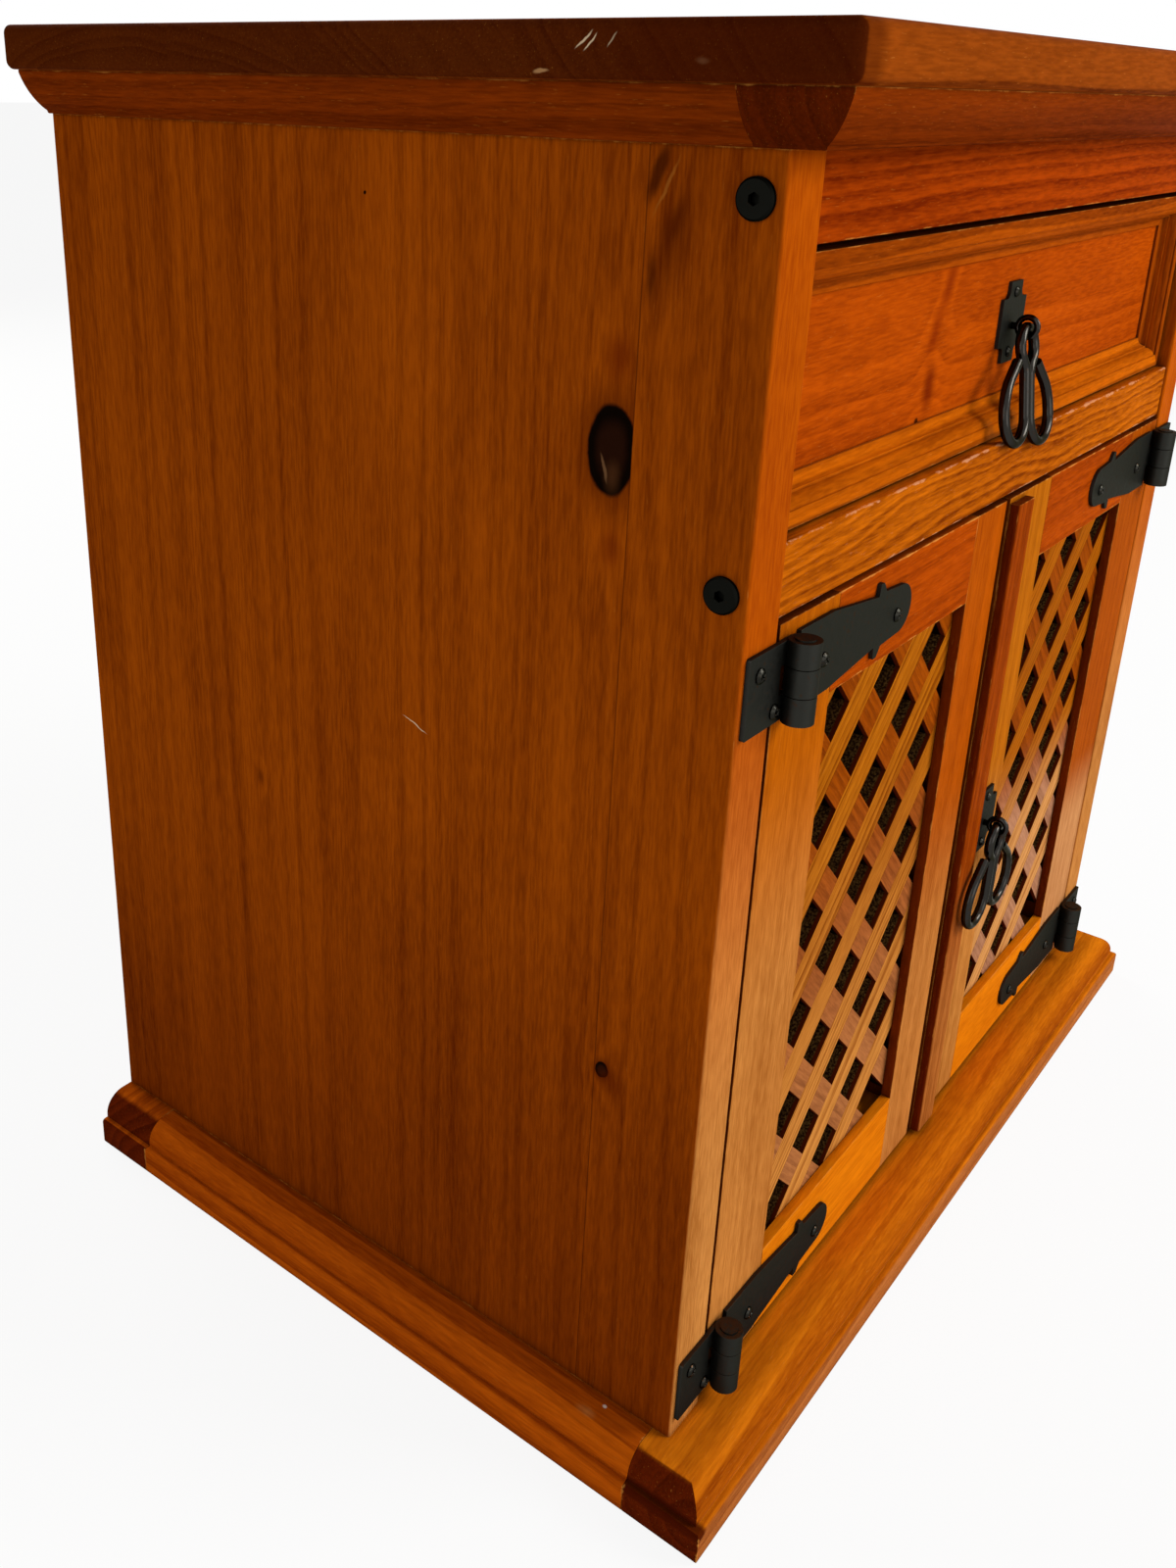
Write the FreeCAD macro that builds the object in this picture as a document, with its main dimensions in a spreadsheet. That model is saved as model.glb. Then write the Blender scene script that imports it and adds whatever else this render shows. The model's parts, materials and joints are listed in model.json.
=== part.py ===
import FreeCAD, Part
import math
import operator
import os
from types import SimpleNamespace

import Sketcher

# Rustic pine storage cabinet: a drawer over two lattice doors, on a moulded base and under a
# moulded crown, with black wrought-iron strap hinges and drop pulls.
# +Z is up, the front faces -Y, and the origin is under the middle of the overall box.

doc = FreeCAD.newDocument("storage_cabinet")
sheet = doc.addObject("Spreadsheet::Sheet", "Dims")

# Driving dimensions, millimetres
dimensions = {
    # carcass
    "body_width": 554,
    "body_depth": 388,
    "panel_thickness": 27,
    "panel_height": 560,
    "panel_round": 2,
    "back_thickness": 5,
    "back_rebate": 10,
    "floor_thickness": 16,
    "rail_thickness": 18,
    "rail_recess": 1.5,
    "rail_round": 1.2,
    "top_rail_height": 31.5,
    "mid_rail_height": 30,
    "drawer_opening": 106,
    # moulded base
    "base_height": 32,
    "base_overhang": 23,
    "base_front_overhang": 31,
    "base_board": 40,
    "base_foot": 2.5,
    "base_fascia": 17.5,
    "base_arris": 2,
    "base_quirk": 3.7,
    "base_quirk_rise": 1.8,
    # moulded crown and top slab
    "crown_height": 19,
    "crown_inset": 6,
    "crown_front_inset": 4,
    "crown_board": 40,
    "crown_lip": 1.2,
    "crown_run": 14,
    "crown_round": 34,
    "crown_bead": 1.2,
    "slab_thickness": 19,
    "slab_overhang": 23,
    "slab_front": 32,
    "slab_round": 4,
    # connector bolts
    "bolt_head": 14.3,
    "bolt_head_height": 2.2,
    "bolt_head_dome": 0.8,
    "bolt_shank": 6.4,
    "bolt_clearance": 0.1,
    "bolt_reach": 34,
    "bolt_socket": 4.6,
    "bolt_socket_depth": 3,
    # doors
    "door_thickness": 19,
    "door_split": -9,
    "door_gap": 3,
    "door_side_gap": 2,
    "door_bottom_gap": 3,
    "door_top_gap": 2,
    "door_face_gap": 0.4,
    "door_back_gap": 2,
    "hinge_stile": 50.7,
    "left_meeting_stile": 39.5,
    "right_meeting_stile": 60.7,
    "meeting_round": 3,
    "door_top_rail": 44,
    "door_bottom_rail": 48.5,
    "lattice_depth": 5.5,
    "lattice_rebate": 7,
    "lattice_clearance": 0.3,
    "slat_thickness": 9,
    "front_slat_width": 18,
    "back_slat_width": 17,
    "slat_pitch": 37.6,
    "left_front_slat_shift": 2.3,
    "left_back_slat_shift": -1.7,
    "right_front_slat_shift": -1.4,
    "right_back_slat_shift": 1.4,
    "astragal_width": 22,
    "astragal_projection": 5,
    "astragal_round": 1.5,
    "astragal_drop": 2.5,
    # strap hinges
    "hinge_axis_inset": 8.5,
    "hinge_axis_forward": 7.2,
    "hinge_top_inset": 22.5,
    "hinge_bottom_inset": 23,
    "leaf_thickness": 2,
    "leaf_height": 33,
    "leaf_margin": 3,
    "leaf_corner": 1,
    "barrel_radius": 6.6,
    "barrel_length": 34,
    "knuckle_top": 10.5,
    "knuckle_bottom": 11.5,
    "knuckle_gap": 0.3,
    "knuckle_clear": 7.5,
    "pin_radius": 4.1,
    "pin_clearance": 0.05,
    "pin_end": 0.6,
    "strap_half": 17,
    "strap_shoulder": 36.5,
    "strap_neck": 79.5,
    "strap_neck_half": 11.5,
    "strap_ear": 3.2,
    "strap_ear_slope": 0.5,
    "strap_notch": 86.5,
    "strap_notch_half": 12.4,
    "strap_tongue": 11.2,
    "strap_length": 115,
    "strap_screw_near": 30.5,
    "strap_screw_far": 100.5,
    "strap_screw_drop": 2,
    "leaf_screw_far": 24.5,
    "leaf_screw_rise": 8,
    "leaf_screw_near": 10.5,
    "leaf_screw_drop": 11,
    # wood screws and nails
    "screw_head": 6.4,
    "screw_head_height": 1.7,
    "screw_shank": 3,
    "screw_length": 14,
    "nail_head": 5.2,
    "nail_head_height": 1.4,
    "nail_shank": 1.8,
    "nail_length": 11,
    "fixing_clearance": 0.1,
    "head_rim_share": 0.35,
    "head_flat_share": 0.62,
    # drawer
    "drawer_recess": 7,
    "drawer_side_gap": 2,
    "drawer_bottom_gap": 1,
    "drawer_top_gap": 3.5,
    "drawer_panel": 15.5,
    "moulding_rim": 7,
    "moulding_step": 1,
    "moulding_band": 4.5,
    "moulding_quirk": 1,
    "moulding_cove": 3.5,
    "moulding_fillet": 1.5,
    "drawer_box_gap": 3,
    "drawer_depth": 340,
    "drawer_side": 12,
    "drawer_side_height": 80,
    "drawer_ply": 5,
    "drawer_groove_depth": 5,
    "drawer_groove_rise": 10,
    "drawer_groove_gap": 0.3,
    "runner_width": 25,
    "runner_height": 20,
    "runner_clearance": 0.3,
    "kicker_clearance": 1,
    # drop pulls
    "pull_plate": 1.6,
    "pull_height": 39,
    "pull_width": 30,
    "pull_waist": 23.2,
    "pull_tab": 15,
    "pull_notch": 3.8,
    "pull_nail": 14.3,
    "eye_drop": 1.8,
    "eye_projection": 7.8,
    "eye_wire": 3,
    "eye_clearance": 0.6,
    "eye_shank": 3.4,
    "eye_reach": 10,
    "drop_wire": 5.2,
    "drop_turn": 50,
    "drop_neck": 9,
    "drop_strand_gap": 0.6,
    "drop_length": 55,
    "drop_loop": 13.7,
    "drop_curl": 22,
    "drop_tip": 12.5,
    "drop_rest_gap": 0.5,
    "drawer_drop_askew": 7,
    "drawer_pull_rise": 0.8,
    "door_pull_inset": 37.7,
    "door_pull_height": 193.2,
}


class Size:
    # A size that carries both its sheet formula and the number it stands for

    def __init__(self, formula, number):
        self.formula = formula
        self.number = number

    def __add__(self, other):
        return combine(self, "+", other)

    def __radd__(self, other):
        return combine(other, "+", self)

    def __sub__(self, other):
        return combine(self, "-", other)

    def __rsub__(self, other):
        return combine(other, "-", self)

    def __mul__(self, other):
        return combine(self, "*", other)

    def __rmul__(self, other):
        return combine(other, "*", self)

    def __truediv__(self, other):
        return combine(self, "/", other)

    def __neg__(self):
        return combine(0, "-", self)


operations = {"+": operator.add, "-": operator.sub, "*": operator.mul, "/": operator.truediv}


def as_size(value):
    if isinstance(value, Size):
        return value
    return Size("(%.9f)" % value, float(value))


def combine(first, sign, second):
    first = as_size(first)
    second = as_size(second)
    formula = "(%s %s %s)" % (first.formula, sign, second.formula)
    return Size(formula, operations[sign](first.number, second.number))


def arc_tangent(rise, run):
    formula = "atan(%s / %s)" % (rise.formula, run.formula)
    return Size(formula, math.degrees(math.atan(rise.number / run.number)))


def cosine(degrees):
    return Size("cos(%s * 1deg)" % degrees.formula, math.cos(math.radians(degrees.number)))


def sine(degrees):
    return Size("sin(%s * 1deg)" % degrees.formula, math.sin(math.radians(degrees.number)))


for row, (alias, number) in enumerate(dimensions.items(), start=1):
    sheet.set("A%d" % row, alias)
    sheet.set("B%d" % row, str(number))
    sheet.setAlias("B%d" % row, alias)
doc.recompute()
d = SimpleNamespace(**{alias: Size("Dims." + alias, float(number))
                       for alias, number in dimensions.items()})

# Levels and planes that several pieces share
half = d.body_width / 2
inner = half - d.panel_thickness
front = (d.slab_front - d.body_depth) / 2
back = front + d.body_depth
panel_top = d.base_height + d.panel_height
crown_top = panel_top + d.crown_height
rail_front = front + d.rail_recess
rail_back = rail_front + d.rail_thickness
mid_top = panel_top - d.top_rail_height - d.drawer_opening
mid_bottom = mid_top - d.mid_rail_height
door_face = front + d.door_face_gap
door_back = door_face + d.door_thickness
door_bottom = d.base_height + d.door_bottom_gap
door_top = mid_bottom - d.door_top_gap
door_height = door_top - door_bottom
lattice_low = door_bottom + d.door_bottom_rail - d.lattice_rebate
lattice_high = door_top - d.door_top_rail + d.lattice_rebate
hinge_x = inner - d.hinge_axis_inset
hinge_y = front - d.hinge_axis_forward
hinge_levels = {"upper": door_top - d.hinge_top_inset, "lower": door_bottom + d.hinge_bottom_inset}
moulding_width = (d.moulding_rim + d.moulding_band + d.moulding_quirk + d.moulding_cove
                  + d.moulding_fillet)
moulding_thickness = d.moulding_fillet + d.moulding_cove + d.moulding_band + d.moulding_step
drawer_half = inner - d.drawer_side_gap
drawer_bottom = mid_top + d.drawer_bottom_gap
drawer_height = d.drawer_opening - d.drawer_bottom_gap - d.drawer_top_gap
drawer_face = front + d.drawer_recess + moulding_thickness
drawer_panel_back = drawer_face + d.drawer_panel

nodes = []
sides = {"left": -1, "right": 1}
along_x = FreeCAD.Rotation(FreeCAD.Vector(0, 1, 0), 90)
against_x = FreeCAD.Rotation(FreeCAD.Vector(0, 1, 0), -90)
against_y = FreeCAD.Rotation(FreeCAD.Vector(1, 0, 0), 90)
no_turn = FreeCAD.Rotation()

# Edges of a block, by where they lie on it
block_edges = {
    "left_front": "Edge1", "left_top": "Edge2", "left_bottom": "Edge4",
    "right_front": "Edge5", "right_top": "Edge6", "right_bottom": "Edge8",
    "front_bottom": "Edge9", "front_top": "Edge10",
}


# Tools of the bench

def bind(thing, name, value):
    thing.setExpression(name, as_size(value).formula)


def place(thing, x, y, z, turn=no_turn):
    thing.Placement = FreeCAD.Placement(FreeCAD.Vector(), turn)
    bind(thing, "Placement.Base.x", x)
    bind(thing, "Placement.Base.y", y)
    bind(thing, "Placement.Base.z", z)


def keep(thing):
    nodes.append(thing)
    return thing


def corner_of(point):
    x, y = as_size(point[0]), as_size(point[1])
    return x, y, FreeCAD.Vector(x.number, y.number, 0)


def arc_middle(start, end, radius):
    # A positive radius bulges to the right of the way the outline runs
    chord = end - start
    sagitta = abs(radius) - math.sqrt(max(radius ** 2 - chord.Length ** 2 / 4, 0))
    right = FreeCAD.Vector(chord.y, -chord.x, 0).normalize()
    return (start + end) * 0.5 + right * math.copysign(sagitta, radius)


def draw(body, name, plane, outline, holes=(), closed=True):
    # Outline: corners (x, y), or (x, y, radius) where an arc leads to the next corner
    sketch = body.newObject("Sketcher::SketchObject", name)
    support = [feature for feature in body.Origin.OriginFeatures if feature.Role == plane]
    sketch.AttachmentSupport = [(support[0], "")]
    sketch.MapMode = "FlatFace"
    corners = [corner_of(point) for point in outline]
    count = len(outline) if closed else len(outline) - 1
    ends = []
    for index in range(count):
        start = corners[index][2]
        end = corners[(index + 1) % len(corners)][2]
        radius = as_size(outline[index][2]).number if len(outline[index]) > 2 else 0
        if radius == 0:
            sketch.addGeometry(Part.LineSegment(start, end), False)
            ends.append((1, 2))
        else:
            middle = arc_middle(start, end, radius)
            turn = (start, middle, end) if radius > 0 else (end, middle, start)
            sketch.addGeometry(Part.Arc(*turn), False)
            ends.append((1, 2) if radius > 0 else (2, 1))
    for index in range(count - 1 + closed):
        following = (index + 1) % count
        link = Sketcher.Constraint("Coincident", index, ends[index][1], following, ends[following][0])
        sketch.addConstraint(link)
    for index in range(len(corners)):
        segment, vertex = (index, ends[index][0]) if index < count else (count - 1, ends[-1][1])
        fix_point(sketch, segment, vertex, corners[index])
    for index in range(count):
        if len(outline[index]) > 2 and as_size(outline[index][2]).number != 0:
            radius = as_size(outline[index][2])
            fix_radius(sketch, index, radius if radius.number > 0 else -radius)
    for x, y, radius in holes:
        centre = corner_of((x, y))
        circle = Part.Circle(centre[2], FreeCAD.Vector(0, 0, 1), as_size(radius).number)
        hole = sketch.addGeometry(circle, False)
        fix_point(sketch, hole, 3, centre)
        fix_radius(sketch, hole, as_size(radius))
    return sketch


def fix_point(sketch, segment, vertex, corner):
    for kind, value in (("DistanceX", corner[0]), ("DistanceY", corner[1])):
        rule = sketch.addConstraint(Sketcher.Constraint(kind, -1, 1, segment, vertex, value.number))
        bind(sketch, "Constraints[%d]" % rule, value)


def fix_radius(sketch, segment, radius):
    rule = sketch.addConstraint(Sketcher.Constraint("Radius", segment, radius.number))
    bind(sketch, "Constraints[%d]" % rule, radius)


def extrude(label, plane, outline, length, corner, holes=()):
    # A section drawn in XY runs up, in XZ it runs to the back, in YZ it runs to the right
    body = doc.addObject("PartDesign::Body", label)
    pad = body.newObject("PartDesign::Pad", label + "_pad")
    pad.Profile = draw(body, label + "_section", plane, outline, holes)
    pad.Reversed = plane == "XZ_Plane"
    bind(pad, "Length", length)
    place(body, *corner)
    return body


def block(label, size, corner, rounded=(), radius=0):
    body = doc.addObject("PartDesign::Body", label)
    shape = body.newObject("PartDesign::AdditiveBox", label + "_block")
    for name, value in zip(("Length", "Width", "Height"), size):
        bind(shape, name, value)
    place(body, *corner)
    if rounded:
        doc.recompute()
        fillet = body.newObject("PartDesign::Fillet", label + "_arris")
        fillet.Base = (shape, [block_edges[edge] for edge in rounded])
        bind(fillet, "Radius", radius)
    return body


def boolean(kind, label, base, tool):
    result = doc.addObject("Part::" + kind, label)
    result.Base = base
    result.Tool = tool
    return result


def bundle(label, things):
    group = doc.addObject("Part::Compound", label)
    group.Links = things
    return group


def copies(label, master, spots):
    # One master piece set at several spots: (x, y, z) or (x, y, z, turn)
    links = []
    for number, spot in enumerate(spots, start=1):
        link = doc.addObject("App::Link", "%s_%d" % (label, number))
        link.LinkedObject = master
        place(link, *spot)
        links.append(link)
    return bundle(label, links)


def rod(label, radius, length, x, y, z, turn=no_turn):
    cylinder = doc.addObject("Part::Cylinder", label)
    bind(cylinder, "Radius", radius)
    bind(cylinder, "Height", length)
    place(cylinder, x, y, z, turn)
    return cylinder


def turned(label, outline):
    # A half section (radius, height) turned about the upright axis
    body = doc.addObject("PartDesign::Body", label)
    section = draw(body, label + "_section", "XZ_Plane", outline)
    shape = body.newObject("PartDesign::Revolution", label + "_turning")
    shape.Profile = section
    shape.ReferenceAxis = (section, ["V_Axis"])
    shape.Angle = 360
    return body


def turn_section(outline, across, up, sign=1):
    # Lays a section's (width, depth) corners along other directions of the sketch
    laid = []
    for point in outline:
        u, v = as_size(point[0]), as_size(point[1])
        radius = as_size(point[2]) * sign if len(point) > 2 else 0
        laid.append((u * across[0] + v * across[1], u * up[0] + v * up[1], radius))
    return laid


# Base and crown mouldings

def base_edge(outer):
    # From the floor up: rounded foot, plain fascia with an eased arris, quirk, ovolo
    shoulder = d.base_fascia + d.base_quirk_rise
    ovolo = d.base_height - shoulder
    return [
        (outer - d.base_foot, 0, d.base_foot),
        (outer, d.base_foot),
        (outer, d.base_fascia - d.base_arris, d.base_arris),
        (outer - d.base_arris, d.base_fascia),
        (outer - d.base_quirk, d.base_fascia),
        (outer - d.base_quirk, shoulder, ovolo),
        (outer - d.base_quirk - ovolo, d.base_height),
    ]


def crown_edge(outer):
    # From the panel up: bead, long flat round, plain lip
    return [
        (outer - d.crown_run - d.crown_bead, 0, d.crown_bead),
        (outer - d.crown_run, d.crown_bead, d.crown_round),
        (outer, d.crown_height - d.crown_lip),
        (outer, d.crown_height),
    ]


def one_edge(edge, outer, width, height, side):
    # A board moulded on one edge only; its moulded edge faces the way of side
    outline = edge(outer) + [(outer - width, height), (outer - width, 0)]
    return turn_section(outline, (side, 0), (0, 1), side)


def both_edges(edge):
    # A board moulded on its left and right ends
    walked_back = []
    for index in reversed(range(len(edge))):
        arc = edge[index - 1][2] if index > 0 and len(edge[index - 1]) > 2 else 0
        walked_back.append((-edge[index][0], edge[index][1], arc))
    return edge + walked_back


def moulded_front(label, edge, reach, front_reach, board, height, level):
    # A full-width front board, moulded along its face and round both ends
    run = extrude(label + "_run", "YZ_Plane", one_edge(edge, front_reach, board, height, -1),
                  reach * 2, (-reach, front, level))
    ends = extrude(label + "_ends", "XZ_Plane", both_edges(edge(reach)),
                   board, (0, front - front_reach, level))
    return keep(boolean("Common", label, run, ends))


def make_base():
    reach = half + d.base_overhang
    side_start = front - d.base_front_overhang + d.base_board
    rear_start = back - d.base_board
    moulded_front("base_front", base_edge, reach, d.base_front_overhang, d.base_board,
                  d.base_height, 0)
    keep(extrude("base_rear", "XZ_Plane", both_edges(base_edge(reach)), d.base_board,
                 (0, rear_start, 0)))
    for name, side in sides.items():
        section = one_edge(base_edge, reach, d.base_board, d.base_height, side)
        keep(extrude("base_" + name, "XZ_Plane", section, rear_start - side_start,
                     (0, side_start, 0)))


def make_crown():
    reach = half + d.slab_overhang - d.crown_inset
    front_reach = d.slab_front - d.crown_front_inset
    side_start = front - front_reach + d.crown_board
    moulded_front("crown_front", crown_edge, reach, front_reach, d.crown_board,
                  d.crown_height, panel_top)
    for name, side in sides.items():
        section = one_edge(crown_edge, reach, d.crown_board, d.crown_height, side)
        keep(extrude("crown_" + name, "XZ_Plane", section, back - side_start,
                     (0, side_start, panel_top)))
    between = reach - d.crown_board
    keep(block("crown_rear", (between * 2, d.crown_board, d.crown_height),
               (-between, back - d.crown_board, panel_top)))
    slab_half = half + d.slab_overhang
    keep(block("top_slab", (slab_half * 2, d.body_depth + d.slab_front, d.slab_thickness),
               (-slab_half, front - d.slab_front, crown_top), tuple(block_edges), d.slab_round))


# Carcass

def make_carcass():
    bolt_y = rail_front + d.rail_thickness / 2
    bolt_levels = (panel_top - d.top_rail_height / 2, mid_top - d.mid_rail_height / 2)
    bore = d.bolt_shank / 2 + d.bolt_clearance
    reach = d.panel_thickness + d.bolt_reach
    rebate_x = inner + d.back_rebate
    rebate_y = back - d.back_thickness
    bolt_spots = []
    drills = []
    for name, side in sides.items():
        outward = along_x if side > 0 else against_x
        inward = against_x if side > 0 else along_x
        for number, level in enumerate(bolt_levels):
            bolt_spots.append((half * side, bolt_y, level, outward))
            drills.append(rod("drill_%s_%d" % (name, number), bore, reach, half * side, bolt_y,
                              level, inward))
    bores = bundle("bolt_bores", drills)
    for name, side in sides.items():
        section = [
            (inner, front + d.panel_round, d.panel_round),
            (inner + d.panel_round, front),
            (half - d.panel_round, front, d.panel_round),
            (half, front + d.panel_round),
            (half, back),
            (rebate_x, back),
            (rebate_x, rebate_y),
            (inner, rebate_y),
        ]
        panel = extrude("panel_board_" + name, "XY_Plane",
                        turn_section(section, (side, 0), (0, 1), side),
                        d.panel_height, (0, 0, d.base_height))
        keep(boolean("Cut", "side_panel_" + name, panel, bores))
    rails = {"top_rail": (panel_top - d.top_rail_height, d.top_rail_height),
             "mid_rail": (mid_bottom, d.mid_rail_height)}
    for name, (level, height) in rails.items():
        board = block(name + "_board", (inner * 2, d.rail_thickness, height), (-inner, rail_front, level),
                      ("front_bottom", "front_top", "left_front", "right_front"), d.rail_round)
        keep(boolean("Cut", name, board, bores))
    keep(copies("connector_bolts", make_bolt(), bolt_spots))
    keep(block("back_panel", (rebate_x * 2, d.back_thickness, d.panel_height),
               (-rebate_x, rebate_y, d.base_height)))
    floor_front = door_back + d.door_back_gap
    keep(block("cupboard_floor", (inner * 2, rebate_y - floor_front, d.floor_thickness),
               (-inner, floor_front, d.base_height)))
    make_runners(rebate_y)


def make_bolt():
    head = d.bolt_head / 2
    shank = d.bolt_shank / 2
    bolt = turned("bolt", [
        (0, -(d.panel_thickness + d.bolt_reach - d.bolt_clearance)),
        (shank, -(d.panel_thickness + d.bolt_reach - d.bolt_clearance)),
        (shank, 0),
        (head, 0),
        (head, d.bolt_head_height - d.bolt_head_dome),
        (head - d.bolt_head_dome, d.bolt_head_height),
        (0, d.bolt_head_height),
    ])
    socket = bolt.newObject("PartDesign::SubtractivePrism", "bolt_socket")
    socket.Polygon = 6
    bind(socket, "Circumradius", d.bolt_socket / 2)
    bind(socket, "Height", d.bolt_socket_depth)
    bind(socket, "Placement.Base.z", d.bolt_head_height - d.bolt_socket_depth)
    return bolt


def make_runners(rear):
    runners = []
    kickers = []
    kicker_level = mid_top + d.runner_clearance + d.drawer_side_height + d.kicker_clearance
    kicker_front = drawer_panel_back + d.kicker_clearance
    for name, side in sides.items():
        x = inner - d.runner_width if side > 0 else -inner
        runners.append(block("runner_" + name, (d.runner_width, rear - rail_back, d.runner_height),
                             (x, rail_back, mid_top - d.runner_height)))
        kickers.append(block("kicker_" + name, (d.runner_width, rear - kicker_front, d.runner_height),
                             (x, kicker_front, kicker_level)))
    keep(bundle("drawer_runners", runners))
    keep(bundle("drawer_kickers", kickers))


# Doors: stiles run full height, rails are tongued between them, the lattice lies in a rebate

def frame_section(width, eased=0):
    # From the outer edge in: face, square reveal, rebate for the lattice
    outer = [(0, eased, eased), (eased, 0)] if eased else [(0, 0)]
    return outer + [
        (width, 0),
        (width, d.lattice_depth),
        (width - d.lattice_rebate, d.lattice_depth),
        (width - d.lattice_rebate, d.door_thickness),
        (0, d.door_thickness),
    ]


def make_door(name, left_edge, right_edge, stiles, eased, slat_shifts):
    stile_names = {"left": ("hinge_stile", "meeting_stile"), "right": ("meeting_stile", "hinge_stile")}
    door = "door_%s_" % name
    left = keep(extrude(door + stile_names[name][0], "XY_Plane", frame_section(stiles[0]),
                        door_height, (left_edge, door_face, door_bottom)))
    right_section = turn_section(frame_section(stiles[1], eased), (-1, 0), (0, 1), -1)
    right = keep(extrude(door + stile_names[name][1], "XY_Plane", right_section, door_height,
                         (right_edge, door_face, door_bottom)))
    start = left_edge + stiles[0] - d.lattice_rebate
    end = right_edge - stiles[1] + d.lattice_rebate
    rails = {"top_rail": (d.door_top_rail, door_top, -1),
             "bottom_rail": (d.door_bottom_rail, door_bottom, 1)}
    for label, (width, level, up) in rails.items():
        section = turn_section(frame_section(width), (0, 1), (up, 0), -up)
        blank = extrude(door + label + "_blank", "YZ_Plane", section, end - start,
                        (start, door_face, level))
        fitted = boolean("Cut", door + label + "_fitted", blank, left)
        keep(boolean("Cut", door + label, fitted, right))
    make_lattice(door, start, end, slat_shifts)


def slat_row(label, start, end, rise, slat_width, shift, depth, thickness):
    # Parallel slats at 45 degrees; a positive rise climbs to the right
    width = end - start
    height = lattice_high - lattice_low
    slope = math.sqrt(0.5)
    length = (width + height) * slope * 2
    turn = FreeCAD.Rotation(FreeCAD.Vector(0, 1, 0), -45 * rise)
    reach = (width.number + height.number) * slope / 2 - slat_width.number
    most = int(2 * reach / d.slat_pitch.number) + 1
    slats = []
    for count in range(-most, most + 1):
        aside = shift + d.slat_pitch * count
        if abs(aside.number) > reach:
            continue
        slat = doc.addObject("Part::Box", label + "_slat")
        bind(slat, "Length", length)
        bind(slat, "Width", thickness)
        bind(slat, "Height", slat_width)
        middle_x = (start + end) / 2 + aside * slope
        middle_z = (lattice_low + lattice_high) / 2 - aside * slope * rise
        place(slat, middle_x - (length - slat_width * rise) * (slope / 2), door_face + depth,
              middle_z - (length * rise + slat_width) * (slope / 2), turn)
        slats.append(slat)
    return bundle(label, slats)


def make_lattice(door, start, end, slat_shifts):
    # Two rows of slats halved into each other, so that their faces are flush
    halving = d.slat_thickness / 2
    rows = {"lattice_front": (1, d.front_slat_width, slat_shifts[0]),
            "lattice_back": (-1, d.back_slat_width, slat_shifts[1])}
    whole = {}
    halved = {}
    for label, (rise, width, shift) in rows.items():
        depth = d.lattice_depth if label == "lattice_front" else d.lattice_depth + halving
        whole[label] = slat_row(door + label + "_row", start, end, rise, width, shift,
                                d.lattice_depth, d.slat_thickness)
        halved[label] = slat_row(door + label + "_halving", start, end, rise, width, shift,
                                 depth, halving)
    crossing = {"lattice_front": halved["lattice_back"], "lattice_back": halved["lattice_front"]}
    for label, row in whole.items():
        notched = boolean("Cut", door + label + "_notched", row, crossing[label])
        trim = doc.addObject("Part::Box", door + label + "_trim")
        bind(trim, "Length", end - start - d.lattice_clearance * 2)
        bind(trim, "Width", d.slat_thickness)
        bind(trim, "Height", lattice_high - lattice_low - d.lattice_clearance * 2)
        place(trim, start + d.lattice_clearance, door_face + d.lattice_depth,
              lattice_low + d.lattice_clearance)
        keep(boolean("Common", door + label, notched, trim))


def make_doors():
    left_outer = -inner + d.door_side_gap
    left_meeting = d.door_split - d.door_gap / 2
    right_meeting = d.door_split + d.door_gap / 2
    right_outer = inner - d.door_side_gap
    make_door("left", left_outer, left_meeting, (d.hinge_stile, d.left_meeting_stile),
              d.meeting_round, (d.left_front_slat_shift, d.left_back_slat_shift))
    make_door("right", right_meeting, right_outer, (d.right_meeting_stile, d.hinge_stile),
              0, (d.right_front_slat_shift, d.right_back_slat_shift))
    keep(block("astragal", (d.astragal_width, d.astragal_projection, door_height - d.astragal_drop),
               (right_meeting, door_face - d.astragal_projection, door_bottom),
               ("left_front", "right_front"), d.astragal_round))
    make_pull("door_pull", right_meeting + d.door_pull_inset, door_face,
              door_bottom + d.door_pull_height, as_size(0), as_size(0))


# Strap hinges: a leaf with two knuckles on the panel, a strap with the middle one on the door

def add_knuckle(body, label, axis_y, low, length):
    # One rolled knuckle; its bore is cut after every knuckle is on
    knuckle = body.newObject("PartDesign::AdditiveCylinder", label)
    bind(knuckle, "Radius", d.barrel_radius)
    bind(knuckle, "Height", length)
    bind(knuckle, "Placement.Base.y", axis_y)
    bind(knuckle, "Placement.Base.z", low)


def bore_barrel(body, label, axis_y):
    bore = body.newObject("PartDesign::SubtractiveCylinder", label + "_bore")
    bind(bore, "Radius", d.pin_radius + d.pin_clearance)
    bind(bore, "Height", d.barrel_length * 2)
    bind(bore, "Placement.Base.y", axis_y)
    bind(bore, "Placement.Base.z", -d.barrel_length)


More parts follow.
